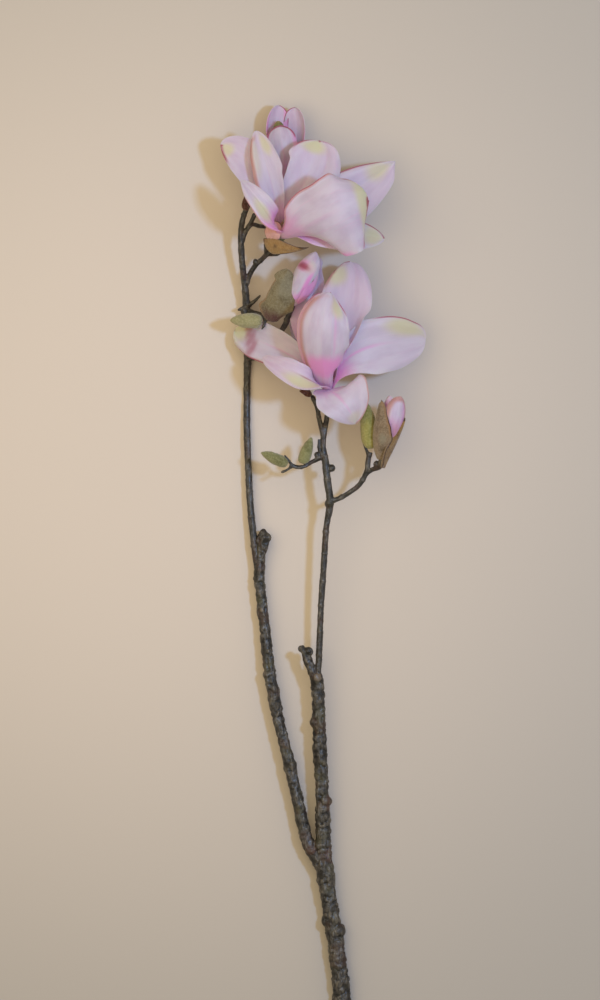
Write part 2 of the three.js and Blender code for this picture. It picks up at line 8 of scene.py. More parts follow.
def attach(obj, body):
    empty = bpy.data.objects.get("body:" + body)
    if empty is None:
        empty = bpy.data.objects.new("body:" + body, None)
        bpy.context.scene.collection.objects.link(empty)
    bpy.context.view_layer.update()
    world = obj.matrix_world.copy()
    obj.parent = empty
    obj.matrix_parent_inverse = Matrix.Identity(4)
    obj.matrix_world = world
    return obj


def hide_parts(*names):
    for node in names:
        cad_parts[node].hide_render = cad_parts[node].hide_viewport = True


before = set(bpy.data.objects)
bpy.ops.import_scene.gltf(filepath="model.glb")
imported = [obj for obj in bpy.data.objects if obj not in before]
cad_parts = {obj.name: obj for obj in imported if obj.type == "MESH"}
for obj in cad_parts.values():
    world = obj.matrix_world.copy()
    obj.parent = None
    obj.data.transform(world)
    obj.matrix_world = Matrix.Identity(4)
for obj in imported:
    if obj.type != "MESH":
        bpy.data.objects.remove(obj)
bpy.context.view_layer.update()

# Cut branch of saucer magnolia, lying on a pale floor and seen from straight above.
# Drawing units are millimetres from the drawing's zero. place() takes them to metres in the frame.
drawingZero = Vector((-18, 85, 0))
mm = 0.001


def place(x, y, z):
    return (Vector((x, y, z)) + drawingZero) * mm


def drawn(point):
    return point * 1000 - drawingZero


def smooth(low, high, value):
    share = min(1, max(0, (value - low) / (high - low)))
    return share * share * (3 - 2 * share)


def mix(a, b, share):
    return a + (b - a) * share


def drift(*at):
    return noise.noise(Vector(at))


def treeOf(points):
    tree = kdtree.KDTree(len(points))
    for i, point in enumerate(points):
        tree.insert(point, i)
    tree.balance()
    return tree


# Working with objects.
def deselectAll():
    if bpy.context.object and bpy.context.object.mode != "OBJECT":
        bpy.ops.object.mode_set(mode="OBJECT")
    bpy.ops.object.select_all(action="DESELECT")


def makeActive(piece):
    deselectAll()
    piece.select_set(True)
    bpy.context.view_layer.objects.active = piece


def finishShape(piece, levels=0):
    # Rounds a piece off by the levels asked for, applies its modifiers and shades it smooth.
    if levels:
        soft = piece.modifiers.new("soft", "SUBSURF")
        soft.levels = soft.render_levels = levels
    makeActive(piece)
    for modifier in list(piece.modifiers):
        bpy.ops.object.modifier_apply(modifier=modifier.name)
    bpy.ops.object.shade_smooth()
    return piece


def dress(piece, *materials):
    piece.data.materials.clear()
    for material in materials:
        piece.data.materials.append(material)
    return piece


def joinPieces(pieces, name):
    deselectAll()
    for piece in pieces:
        piece.select_set(True)
    bpy.context.view_layer.objects.active = pieces[0]
    bpy.ops.object.join()
    pieces[0].name = pieces[0].data.name = name
    return pieces[0]


def settle(piece):
    makeActive(piece)
    bpy.ops.object.transform_apply(location=True, rotation=True, scale=True)
    return piece


def handOver(piece, node, slot):
    settle(piece)
    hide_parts(node)
    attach(piece, "root")


deselectAll()

# Camera and lights.
view = {
    "middle": (0, 0),  # drawing point at the middle of the picture
    "height": 8.0,
    "shows": 0.8,  # metres from the bottom to the top of the picture
    "sensor": 36,
    "farthest": 100,
}
middle = place(*view["middle"], 0)
bpy.ops.object.camera_add(location=(middle.x, middle.y, view["height"]))
camera = bpy.context.object
camera.name = "camera"
camera.data.sensor_width = view["sensor"]
camera.data.lens = view["sensor"] * view["height"] / view["shows"]
camera.data.clip_end = view["farthest"]
bpy.context.scene.camera = camera

lamps = {
    "flash": {
        "position": (0.68, 0.37, 1.65), "aim": (0, 0.1, 0),
        "size": 0.14, "energy": 15, "color": (0.31, 0.53, 0.94),
    },
    "roomLamp": {
        "position": (-0.35, 0.4, 1.2), "aim": (-0.1, 0.2, 0),
        "size": 1.5, "energy": 9.7, "color": (1, 0.835, 0.56),
    },
}
roomGlow = {"Color": (1, 0.83, 0.55, 1), "Strength": 0.44}


def addLamp(name, look):
    position = Vector(look["position"])
    bpy.ops.object.light_add(type="AREA", location=position)
    lamp = bpy.context.object
    lamp.name = name
    lamp.rotation_euler = (Vector(look["aim"]) - position).to_track_quat("-Z", "Y").to_euler()
    for setting in ("size", "energy", "color"):
        setattr(lamp.data, setting, look[setting])


for name, look in lamps.items():
    addLamp(name, look)
world = bpy.data.worlds.new("studio")
bpy.context.scene.world = world
world.use_nodes = True
for socket, value in roomGlow.items():
    world.node_tree.nodes["Background"].inputs[socket].default_value = value
bpy.context.scene.view_settings.view_transform = "Standard"
print("camera and lights are set")


# Building materials out of nodes. A helper adds its nodes to the tree of the socket or node it is given.
def newMaterial(name, **settings):
    material = bpy.data.materials.new(name)
    material.use_nodes = True
    shader = material.node_tree.nodes["Principled BSDF"]
    for socket, value in settings.items():
        shader.inputs[socket.replace("_", " ")].default_value = value
    return material, shader


def connect(value, socket):
    if isinstance(value, bpy.types.NodeSocket):
        socket.id_data.links.new(value, socket)
    else:
        socket.default_value = value


def addNode(near, kind, settings=None, **inputs):
    node = near.id_data.nodes.new("ShaderNode" + kind)
    for key, value in (settings or {}).items():
        setattr(node, key, value)
    for key, value in inputs.items():
        connect(value, node.inputs[key.replace("_", " ")])
    return node


def layered(color, *coats):
    # Lays coats of (share, colour) over a first colour, one after another.
    for share, coat in coats:
        node = addNode(share, "Mix", {"data_type": "RGBA"})
        connect(share, node.inputs[0])
        connect(color, node.inputs[6])
        connect(coat, node.inputs[7])
        color = node.outputs[2]
    return color


def ramp(value, low, high, first=0.0, second=1.0):
    limits = {"Value": value, "From_Min": low, "From_Max": high, "To_Min": first, "To_Max": second}
    return addNode(value, "MapRange", {"interpolation_type": "SMOOTHSTEP"}, **limits).outputs["Result"]


def combine(operation, first, second):
    node = addNode(first, "Math", {"operation": operation})
    connect(first, node.inputs[0])
    connect(second, node.inputs[1])
    return node.outputs[0]


def times(first, second):
    return combine("MULTIPLY", first, second)


def stretched(source, scale):
    return addNode(source, "Mapping", Vector=source, Scale=scale).outputs["Vector"]


def speckle(source, scale, detail=3.0, roughness=0.5):
    look = {"Scale": scale, "Detail": detail, "Roughness": roughness}
    return addNode(source, "TexNoise", Vector=source, **look).outputs["Fac"]


def bump(shader, height, strength, distance):
    node = addNode(shader, "Bump", Height=height, Strength=strength, Distance=distance)
    connect(node.outputs["Normal"], shader.inputs["Normal"])


def readObject(shader):
    return addNode(shader, "TexCoord").outputs["Object"]


def readPaint(shader, attribute):
    # The four amounts that a painted attribute holds: red, green, blue and alpha.
    paint = addNode(shader, "Attribute", {"attribute_name": attribute})
    amounts = addNode(shader, "SeparateColor", Color=paint.outputs["Color"])
    return (*amounts.outputs, paint.outputs["Alpha"])


# Tepals: mauve and white clouds, fine veins, and what each tepal has painted on it.
tepalFinish = {
    "Roughness": 0.5, "Specular_IOR_Level": 0.35, "Sheen_Weight": 0.18, "Sheen_Roughness": 0.5,
    "Subsurface_Weight": 0.5, "Subsurface_Scale": 0.004, "Subsurface_Radius": (1, 0.6, 0.8),
}
tepalGrain = {"clouds": (2.2, 1.6, 1), "veins": (34, 1.6, 1), "fine": (90, 7, 1)}  # across, along
tepalColors = {
    "white": (0.575, 0.525, 0.65, 1),
    "lilac": (0.465, 0.40, 0.535, 1),
    "pink": (0.73, 0.28, 0.60, 1),
    "vein": (0.66, 0.36, 0.56, 1),
    "stain": (0.58, 0.565, 0.34, 1),
    "tan": (0.46, 0.225, 0.20, 1),
    "red": (0.30, 0.045, 0.085, 1),
}


def tepalMaterial(name, lilacShare, veinShare):
    material, shader = newMaterial(name, **tepalFinish)
    uv = addNode(shader, "UVMap").outputs["UV"]
    grain = {kind: stretched(uv, scale) for kind, scale in tepalGrain.items()}
    clouds = ramp(speckle(grain["clouds"], 2.2), 0.35, 0.7)
    lengthwise = speckle(grain["veins"], 1.0, 4.0, 0.55)
    fine = speckle(grain["fine"], 1.0, 3.0, 0.6)
    veins = ramp(lengthwise, 0.52, 0.68)
    pink, stain, red, tan = readPaint(shader, "blush")
    color = layered(
        tepalColors["white"],
        (times(clouds, lilacShare), tepalColors["lilac"]),
        (times(veins, veinShare), tepalColors["vein"]),
        (pink, tepalColors["pink"]),
        (stain, tepalColors["stain"]),
        (tan, tepalColors["tan"]),
        (red, tepalColors["red"]),
    )
    connect(color, shader.inputs["Base Color"])
    relief = combine("ADD", lengthwise, times(fine, 0.35))
    bump(shader, relief, 0.22, 0.0006)
    connect(ramp(fine, 0.3, 0.7, 0.42, 0.58), shader.inputs["Roughness"])
    return material


tepalInside = tepalMaterial("tepalInside", 0.55, 0.12)
tepalOutside = tepalMaterial("tepalOutside", 0.8, 0.2)

# Bark: painted shade in the furrows, lighter ridges, moss and rust, and a painted bluish highlight on the
# upper side.
barkColors = {
    "shadeInFurrowsAndCracks": (0.006, 0.0055, 0.0055, 1),
    "body": (0.028, 0.025, 0.0225, 1),
    "ridge": (0.118, 0.102, 0.080, 1),
    "moss": (0.075, 0.070, 0.036, 1),
    "rust": (0.075, 0.032, 0.022, 1),
    "scar": (0.16, 0.12, 0.08, 1),
    "paintedHighlight": (0.14, 0.15, 0.17, 1),
}


def barkMaterial(name, grain, roughness, mossShare):
    finish = {"Specular_IOR_Level": 0.5, "Coat_Weight": 0.25, "Coat_Roughness": 0.28}
    material, shader = newMaterial(name, Roughness=roughness, **finish)
    source = readObject(shader)
    relief, rust, scar, paintedSheen = readPaint(shader, "barkTone")
    patches = ramp(speckle(source, 75, 3), 0.5, 0.66)
    fibres = speckle(stretched(source, (1, 0.3, 1)), grain, 5.0, 0.65)
    flecks = speckle(source, grain * 0.6, 3, 0.6)
    ridges = times(ramp(relief, 0.5, 0.9), ramp(fibres, 0.42, 0.6))
    # Sunk relief keeps the near-black colour as painted shade in the furrows; raised relief takes the lighter
    # ridge colour.
    color = layered(
        barkColors["shadeInFurrowsAndCracks"],
        (ramp(relief, 0.15, 0.5), barkColors["body"]),
        (times(patches, mossShare), barkColors["moss"]),
        (rust, barkColors["rust"]),
        (ridges, barkColors["ridge"]),
        (scar, barkColors["scar"]),
        # Painted highlight: a bluish sheen on the upper side.
        (times(paintedSheen, ramp(flecks, 0.46, 0.58)), barkColors["paintedHighlight"]),
        (ramp(flecks, 0.36, 0.46, 0.75, 0), barkColors["shadeInFurrowsAndCracks"]),  # cracks
    )
    connect(color, shader.inputs["Base Color"])
    bump(shader, fibres, 0.8, 0.0010)
    gloss = ramp(fibres, 0.3, 0.7, roughness + 0.14, roughness - 0.12)
    connect(gloss, shader.inputs["Roughness"])
    return material


knobbedBark = barkMaterial("knobbedBark", 560, 0.46, 0.6)
smoothBark = barkMaterial("smoothBark", 800, 0.38, 0.25)

# Sawn end: pale end grain with growth rings, a dark pith and a bark rim. Sizes are metres from the pith.
cutWood = {
    "darkRing": (0.30, 0.19, 0.10, 1), "paleRing": (0.52, 0.38, 0.23, 1),
    "ringScale": 180, "ringWander": 1.6,
    "pithColor": (0.12, 0.07, 0.04, 1), "pith": (0.0005, 0.0012),
    "rimColor": (0.07, 0.045, 0.03, 1), "rim": (0.0056, 0.0064),
}


def cutWoodMaterial(center):
    material, shader = newMaterial("cutWood", Roughness=0.75)
    turned = {"Vector": readObject(shader), "Location": center}
    centered = addNode(shader, "Mapping", {"vector_type": "TEXTURE"}, **turned).outputs["Vector"]
    spacing = {"Scale": cutWood["ringScale"], "Distortion": cutWood["ringWander"], "Detail_Scale": 1.2}
    bands = {"wave_type": "RINGS", "rings_direction": "Y"}
    rings = addNode(shader, "TexWave", bands, Vector=centered, **spacing).outputs["Fac"]
    distance = addNode(shader, "VectorMath", {"operation": "LENGTH"})
    connect(centered, distance.inputs[0])
    out = distance.outputs["Value"]
    color = layered(
        cutWood["darkRing"],
        (rings, cutWood["paleRing"]),
        (ramp(out, *cutWood["pith"], 1, 0), cutWood["pithColor"]),
        (ramp(out, *cutWood["rim"]), cutWood["rimColor"]),
    )
    connect(color, shader.inputs["Base Color"])
    bump(shader, speckle(centered, 900, 4), 0.5, 0.0004)
    return material


# Felt of buds and scales: dark, middle and pale wool, and tints where the blush is painted.
feltTints = {
    "foot": (0.085, 0.028, 0.026, 1), "patch": (0.26, 0.25, 0.19, 1),
    "rim": (0.040, 0.016, 0.012, 1), "edge": (0.30, 0.17, 0.08, 1),
}
feltColors = {
    "greenFelt": ((0.14, 0.14, 0.055, 1), (0.23, 0.23, 0.10, 1), (0.38, 0.37, 0.20, 1)),
    "limeFelt": ((0.20, 0.19, 0.05, 1), (0.31, 0.29, 0.085, 1), (0.48, 0.43, 0.17, 1)),
    "paleFelt": ((0.20, 0.19, 0.09, 1), (0.32, 0.30, 0.15, 1), (0.50, 0.46, 0.28, 1)),
    "tawnyFelt": ((0.13, 0.09, 0.052, 1), (0.25, 0.18, 0.115, 1), (0.37, 0.29, 0.20, 1)),
    "brownFelt": ((0.11, 0.085, 0.042, 1), (0.20, 0.165, 0.092, 1), (0.30, 0.27, 0.18, 1)),
    "ochreFelt": ((0.16, 0.08, 0.026, 1), (0.31, 0.18, 0.065, 1), (0.42, 0.28, 0.12, 1)),
    "rustFelt": ((0.05, 0.018, 0.014, 1), (0.125, 0.04, 0.032, 1), (0.22, 0.11, 0.085, 1)),
    "roseFelt": ((0.62, 0.30, 0.29, 1), (0.76, 0.41, 0.40, 1), (0.82, 0.50, 0.47, 1)),
    "scaleLining": ((0.10, 0.06, 0.03, 1), (0.24, 0.15, 0.08, 1), (0.34, 0.24, 0.15, 1)),
    "hairFelt": ((0.28, 0.26, 0.14, 1), (0.40, 0.38, 0.23, 1), (0.50, 0.48, 0.33, 1)),
}


def feltMaterial(name, dark, middle, pale):
    finish = {"Sheen_Weight": 0.4, "Sheen_Roughness": 0.45, "Specular_IOR_Level": 0.2}
    material, shader = newMaterial(name, Roughness=0.92, **finish)
    source = readObject(shader)
    broad = speckle(source, 90, 3)
    mottle = ramp(speckle(source, 620, 4, 0.7), 0.42, 0.62)
    fibres = speckle(stretched(source, (1, 0.35, 1)), 1900, 4, 0.7)
    foot, patch, rim, edge = readPaint(shader, "blush")
    color = layered(
        dark,
        (ramp(broad, 0.3, 0.6), middle),
        (times(mottle, 0.5), pale),
        (foot, feltTints["foot"]),
        (patch, feltTints["patch"]),
        (edge, feltTints["edge"]),
        (rim, feltTints["rim"]),
        (times(ramp(fibres, 0.5, 0.7), 0.35), pale),
    )
    connect(color, shader.inputs["Base Color"])
    bump(shader, fibres, 0.8, 0.0007)
    return material


felts = {name: feltMaterial(name, *colors) for name, colors in feltColors.items()}

# Plain flesh, each as (dark, pale, how fine the mottling is).
fleshColors = {
    "stamenRose": ((0.42, 0.07, 0.16, 1), (0.66, 0.30, 0.36, 1), 500),
    "carpelGreen": ((0.26, 0.32, 0.08, 1), (0.50, 0.50, 0.18, 1), 400),
    "tepalCore": ((0.50, 0.24, 0.42, 1), (0.66, 0.50, 0.66, 1), 120),
    "knobGreen": ((0.17, 0.16, 0.06, 1), (0.32, 0.28, 0.11, 1), 300),
}


def fleshMaterial(name, dark, pale, scale):
    material, shader = newMaterial(name, Roughness=0.55, Subsurface_Weight=0.1, Subsurface_Scale=0.002)
    source = readObject(shader)
    share = ramp(speckle(source, scale, 3), 0.35, 0.65)
    connect(layered(dark, (share, pale)), shader.inputs["Base Color"])
    bump(shader, speckle(source, scale * 5, 3), 0.4, 0.0003)
    return material


fleshes = {name: fleshMaterial(name, *look) for name, look in fleshColors.items()}
print("materials are made")

# Floor: a pool of light painted into its colour, brightest beside the lower bloom and darker away from there.
floorLook = {
    "size": 60, "height": -0.0004,
    "brightest": (-0.16, 0.14, 0), "fades": (0.05, 0.62),  # metres from the brightest point
    "near": (0.70, 0.62, 0.55, 1), "far": (0.465, 0.435, 0.40, 1),
}


def floorMaterial():
    material, shader = newMaterial("paleFloor", Roughness=0.9, Specular_IOR_Level=0.1)
    source = readObject(shader)
    away = addNode(shader, "VectorMath", {"operation": "DISTANCE"}, Vector=source)
    away.inputs[1].default_value = floorLook["brightest"]
    paintedFalloff = ramp(away.outputs["Value"], *floorLook["fades"])
    # Painted light: the colour goes from near to far with distance, standing in for the lamp's falloff.
    tone = layered(floorLook["near"], (paintedFalloff, floorLook["far"]))
    connect(tone, shader.inputs["Base Color"])
    bump(shader, speckle(source, 400, 3), 0.05, 0.0003)
    return material


bpy.ops.mesh.primitive_plane_add(size=floorLook["size"], location=(0, 0, floorLook["height"]))
floor = bpy.context.object
floor.name = "floor"
dress(floor, floorMaterial())
print("floor is laid")


# Seats: where each bloom and bud sits on its twig, and the way it points.
seats = {
    "lowerBloom": ((21.6, 89.6, 44), (0.05, 0.8, 0.6)),
    "upperBloom": ((-15.2, 209.6, 44), (0.3, 0.78, 0.55)),
    "rightBud": ((65.2, 33, 47), (0.22, 0.97, 0.1)),
    "middleBud": ((-5.6, 155.2, 45), (0.41, 0.9, 0.1)),
    "upperBud": ((-11.2, 256, 18), (0, 1, 0.02)),
}
seatAt = {name: Vector(at) for name, (at, aim) in seats.items()}
seatAim = {name: Vector(aim).normalized() for name, (at, aim) in seats.items()}
receptacle = {"half": 4, "root": 2.6, "waist": 4.2, "top": 3.6}
seatGap = 0.3  # between a piece and the wood that carries it


def twigEnd(seat, half, radius=2.4, straight=6):
    ends = [seatAt[seat] - seatAim[seat] * (half + seatGap + back) for back in (straight, 0)]
    return [(*end, radius) for end in ends]


# Wood: each stem as (x, y, z, radius) down its middle, and each knot or spot as (x, y, z, radius).
thickStems = {
    "trunkAndRightLimb": [
        (42, -484, 8.6, 7.2), (36.8, -432, 6.9, 7), (33.6, -399, 7.2, 6.9), (28.8, -356, 8.6, 6.5),
        (23.2, -320, 9.8, 6.4), (19.2, -290, 11, 6.8), (18.4, -264, 12.2, 6), (17.6, -232, 14, 5.3),
        (16, -196, 16.2, 5.4), (14.8, -164, 18.4, 5.2), (13.4, -144, 20, 5), (8.8, -134, 21, 3.6),
        (5, -125, 22, 3.4), (4, -121.5, 22.3, 3.1),
    ],
    "leftLimb": [
        (17.6, -293, 10.6, 5.6), (10.4, -281.6, 11.2, 5.4), (4.8, -269, 11.6, 4.9),
        (-0.4, -246.4, 12, 4.7), (-5.6, -224, 12.2, 4.7), (-11.2, -200, 12.2, 4.5),
        (-16.8, -177.6, 12, 4.5), (-21.6, -153.6, 11.6, 4.9), (-24.8, -132, 11.2, 4.5),
        (-27.6, -105.6, 10.8, 4.2), (-30.4, -81.6, 10.2, 4.2), (-32.6, -60, 9.8, 4.2),
        (-31.4, -45, 9.8, 3.5), (-29.6, -35, 10, 4.2), (-28.8, -29.6, 10, 4.5), (-29.2, -25.4, 10, 2.5),
    ],
    "limbStub": [(-30.6, -40, 10, 3.2), (-32, -31, 9.6, 3), (-29.4, -27, 10, 3.4)],
}
thinStems = {
    "rightStem": [
        (13.6, -150, 19.6, 2.6), (15.2, -122, 22, 2.6), (16.8, -84, 25, 2.5), (19.2, -48, 28, 2.5),
        (21.2, -20, 30.5, 2.5), (24, -2.4, 32, 3), (22, 14, 33.5, 3), (20.2, 30.4, 34, 2.9),
        (18.4, 44, 34, 2.4), (19.2, 54.4, 33.6, 2.4), (21.4, 66, 33, 2.1), (21.6, 75, 34, 2.2),
        *twigEnd("lowerBloom", receptacle["half"]),
    ],
    "leftStem": [
        (-32.6, -64, 9.6, 2.6), (-36, -40, 9, 2.8), (-37.8, -24, 8.4, 2.9), (-40, 0, 7.4, 2.8),
        (-41.2, 24, 6.2, 2.8), (-42.4, 56, 4.4, 2.8), (-42.4, 88, 2.3, 2.8), (-42, 112, 3, 3),
        (-42.4, 132, 5, 2.8), (-42.8, 153.6, 9, 3.2), (-43.6, 168, 13, 2.7), (-45.6, 184, 18, 2.6),
        (-46.8, 200, 22.5, 2.5), (-47.2, 212, 26, 2.3), (-45.6, 224, 29, 2.2), (-42.8, 231.5, 31, 2.2),
    ],
    "redBudProng": [(18.6, 50, 34, 2), (15.4, 64, 35, 1.9), (13.4, 74, 36, 1.8), (10, 82, 37, 1.7)],
    "leftTwig": [
        (17, 34, 34, 2.1), (9.6, 30.4, 35, 1.7), (2, 26.4, 36, 1.6), (-4, 26.6, 37, 1.6),
        (-8, 28.4, 37.6, 1.9),
    ],
    "leftTwigProngHigh": [(-6.5, 27.6, 37.2, 1.3), (-9.6, 32.4, 37.6, 1.1), (-12, 35, 37.8, 0.9)],
    "leftTwigProngLow": [(-6, 27, 37.2, 1.2), (-11, 23.6, 37.4, 1), (-14.4, 22.4, 37.4, 0.9)],
    "rightTwig": [
        (23.6, -1.5, 32, 2.4), (32, 1.6, 33, 2), (40, 6.4, 34.6, 2), (46.4, 11.2, 36, 2),
        (50.8, 17.6, 37.6, 2.1), (53.4, 24, 39.5, 2), (54.4, 32, 40.6, 2.1), (55.6, 38, 41, 2.4),
    ],
    "rightTwigProng": [(54.6, 35, 40.8, 1.6), (52.4, 41, 41.4, 1.1), (50.2, 46.4, 42, 0.9)],
    "rightBudTwig": [(52.4, 20.4, 38.4, 1.8), (57.4, 24, 41, 1.8), *twigEnd("rightBud", 0)],
    "upperBloomTwig": [
        (-43, 172, 14.2, 2.3), (-40, 180, 17, 2.1), (-35.6, 187, 21, 2), (-30, 192.4, 26, 2),
        (-25.6, 196.4, 31.6, 2.2), *twigEnd("upperBloom", receptacle["half"]),
    ],
    "upperBloomTwigProng": [(-26, 196, 31, 1.8), (-20, 195.6, 33, 1.4), (-16.6, 196.4, 34, 1.2)],
    "scaleSpur": [(-26.6, 196.4, 31, 1.9), (-27.2, 200.4, 36, 1.7), (-27.4, 203.4, 40.6, 1.6)],
    "middleBudTwig": [
        (-41.6, 113.6, 4.6, 2.4), (-35.2, 117.6, 6.5, 2.2), (-26.4, 124, 10, 2.1),
        (-19.2, 129.6, 15, 2.2), (-14.8, 135.2, 23, 2.3), (-11.4, 140.6, 33, 2.3),
        (-9.6, 145.4, 40, 2.3), *twigEnd("middleBud", 0, 2.4, 3),
    ],
    "greenBudTwig": [
        (-42, 151, 9, 2), (-36, 149.6, 15, 1.7), (-30.6, 147.6, 23, 1.7), (-27.8, 144.6, 30, 1.8),
        (-27.4, 142.8, 34.6, 1.8),
    ],
    "greenBudProng": [(-27.6, 143.4, 33, 1.3), (-28.4, 139.6, 34.8, 1), (-30.4, 136.4, 35, 0.8)],
    "upperBudTwig": [
        (-46, 206, 24, 1.9), (-43.2, 214.4, 26, 1.9), (-38.4, 219.6, 25.6, 1.7), (-32, 218.4, 24, 1.7),
        (-26, 218.2, 21, 1.6), (-19, 222.4, 16.5, 1.6), (-13.4, 232, 14.6, 1.7), *twigEnd("upperBud", 0),
    ],
    "forkStub": [(-42, 217, 25.8, 1.7), (-38.4, 223, 26.8, 1.6), (-36.4, 227, 27.4, 1.9)],
    "nodeSpurHigh": [(-42, 118, 4, 2), (-45, 122, 4.2, 1.3), (-47.4, 124.4, 4.4, 0.9)],
    "ringSpurLeft": [(-43, 154, 9, 2), (-46, 153, 10, 1.5), (-49, 152, 10.6, 1)],
    "ringSpurRight": [(-42, 154, 9.4, 2), (-36.4, 158.8, 11.4, 1.3), (-32, 163, 12.6, 0.9)],
    "stemSpur": [(18, 34, 34, 2.2), (15.4, 40, 34.4, 1.3), (15, 47.6, 34.6, 1)],
}
thickKnots = [
    (17.6, -276, 11.6, 7), (30, -344, 9.6, 6.4), (20.6, -302, 11.4, 6.2), (22.6, -336, 9.6, 5.6),
    (-25.4, -140, 12.2, 4.4), (-7.6, -212, 13, 4.4), (13, -178, 18, 4.4), (20.4, -240, 14, 4.6),
    (1, -118.8, 22.4, 3), (6.6, -120.8, 22.6, 3.6), (-26.4, -30.4, 10.4, 3.2),
]
thinKnots = [
    (-37.6, 114.6, 4.2, 3.2), (-35, 189.6, 22, 2.5), (-43.4, 151, 9, 4.1), (25.2, 25.4, 34, 3),
    (13.6, 36, 34.2, 2.4), (23.4, -3, 32, 3.7), (-35.6, 191, 22, 1.6), (61, 28.6, 44, 2.6),
]
leafScars = [(14.4, -141, 24.6, 3.4), (-30.6, -88, 14, 1.8), (23.4, -352, 16, 2.2)]
rustSpots = [(24, -242, 13, 8), (24, -283, 12, 8), (-32, -130, 13, 4), (9, -279, 14, 5)]
sweep = {"step": 2.0, "roundness": 5, "roundedEnd": 0.98, "relaxing": 6}
sawnFace = {"depth": 1.2, "turned": -0.8}  # faces this near the trunk's start and turned this far back
oldBark = {
    "voxel": 0.65, "swing": 0.8, "collars": 1.5, "lumps": 1.3, "knuckles": 0.75, "furrows": 2.4,
    "sunk": 0.25, "beat": 0.52,  # radians of the collars' wave in a millimetre
}
youngBark = {"voxel": 0.45, "swing": 0.4, "rings": 0.3, "pores": 0.14, "lines": 0.2, "waves": 0.35}
barkPaint = {"scarHeight": 0.5, "scar": 0.7, "rustSpots": 0.85, "rustPatches": 0.4, "paintedSheen": 0.35}


def curvePoint(points, position):
    # A smooth curve through the points, whose speed follows the root of their spacing.
    first = min(int(position), len(points) - 2)
    share = position - first
    start, end = points[first], points[first + 1]
    before = points[first - 1] if first > 0 else start * 2 - end
    after = points[first + 2] if first + 2 < len(points) else end * 2 - start
    gaps = [max((b - a).length ** 0.5, 1e-4) for a, b in ((before, start), (start, end), (end, after))]
    leave = (start - before) / gaps[0] - (end - before) / (gaps[0] + gaps[1]) + (end - start) / gaps[1]
    arrive = (end - start) / gaps[1] - (after - start) / (gaps[1] + gaps[2]) + (after - end) / gaps[2]
    leave, arrive = leave * gaps[1], arrive * gaps[1]
    bend = (end - start) * 3 - leave * 2 - arrive
    twist = (start - end) * 2 + leave + arrive
    return start + leave * share + bend * share**2 + twist * share**3


def followStem(stations, spacing):
    points = [Vector(station[:3]) for station in stations]
    steps = []
    for first in range(len(points) - 1):
        count = max(1, round((points[first + 1] - points[first]).length / spacing))
        for i in range(count + (first == len(points) - 2)):
            share = i / count
            radius = mix(stations[first][3], stations[first + 1][3], smooth(0, 1, share))
            steps.append((curvePoint(points, first + share), radius))
    return steps


def sweepStem(name, stations):
    bpy.ops.curve.primitive_nurbs_path_add(location=(0, 0, 0))
    stem = bpy.context.object
    stem.name = name
    steps = followStem(stations, sweep["step"])
    stem.data.splines.clear()
    spline = stem.data.splines.new("POLY")
    spline.points.add(len(steps) - 1)
    for point, (center, radius) in zip(spline.points, steps):
        point.co = (*place(*center), 1)
        point.radius = radius
    stem.data.bevel_depth = mm
    stem.data.bevel_resolution = sweep["roundness"]
    stem.data.use_fill_caps = True
    makeActive(stem)
    bpy.ops.object.convert(target="MESH")
    return stem


def addKnot(x, y, z, radius):
    bpy.ops.mesh.primitive_ico_sphere_add(subdivisions=3, radius=radius * mm, location=place(x, y, z))
    return bpy.context.object


def roundOff(stations):
    *tip, radius = stations[-1]
    return addKnot(*tip, radius * sweep["roundedEnd"])


def meltTogether(solids, name, voxel):
    wood = settle(joinPieces(solids, name))
    remesh = wood.modifiers.new("remesh", "REMESH")
    remesh.mode = "VOXEL"
    remesh.voxel_size = voxel * mm
    relax = wood.modifiers.new("relax", "SMOOTH")
    relax.factor = 0.5
    relax.iterations = sweep["relaxing"]
    return finishShape(wood)


def stemIndex(stems):
    # Finds, for any point, how far along its stem it lies, the way the stem runs, and its radius.
    steps = []
    for number, stations in enumerate(stems.values()):
        path = followStem(stations, 1.0)
        for i, (center, radius) in enumerate(path):
            ahead = path[min(i + 1, len(path) - 1)][0] - path[max(i - 1, 0)][0]
            steps.append((center, ahead.normalized(), radius, i + 97.0 * number))
    return treeOf([step[0] for step in steps]), steps


def barkDrift(along, around, length, tightness, shift):
    # Noise over the bark: slow for a long length, and finer round the stem for a high tightness.
    return drift(along / length, around.x * tightness, around.y * tightness + shift)


def knobbedRelief(along, around, radius):
    # Old bark: collars where scales fell, lumps, knuckles between them and furrows along it.
    wander = barkDrift(along, around, 9, 1, 0) * 4
    beat = (along + wander) * oldBark["beat"] + 1.6 * drift(along / 24, 0, 7)
    collar = abs(math.sin(beat)) ** 0.45 - 0.8
    strength = smooth(-0.35, 0.25, barkDrift(along, around, 10, 1.2, 3))
    height = collar * strength * oldBark["collars"]
    height += barkDrift(along, around, 8, 1.1, 21) * oldBark["lumps"]
    height += barkDrift(along, around, 3.6, 1.8, 11) * oldBark["knuckles"]
    height += min(0.2, abs(barkDrift(along, around, 13, 3.4, 5))) * oldBark["furrows"]
    return (height - oldBark["sunk"]) * (0.3 + radius / 9)


def smoothRelief(along, around, radius):
    # Young bark of any radius: faint rings, small raised pores and fine lines.
    ring = max(0, math.sin(along * 0.31 + 2.2 * drift(along / 22, 3, 1))) ** 24
    height = ring * youngBark["rings"]
    height += smooth(0.3, 0.48, barkDrift(along, around, 2.1, 2.6, 2)) * youngBark["pores"]
    height += barkDrift(along, around, 9, 3, 0) * youngBark["lines"]
    height += barkDrift(along, around, 6, 0.8, 8) * youngBark["waves"]
    return height


def nearSpots(point, spots):
    # 1 inside the nearest of some spots, fading to 0 outside.
    away = [(point - Vector(at)).length / radius for *at, radius in spots]
    return max(1 - smooth(0.7, 1.15, share) for share in away)


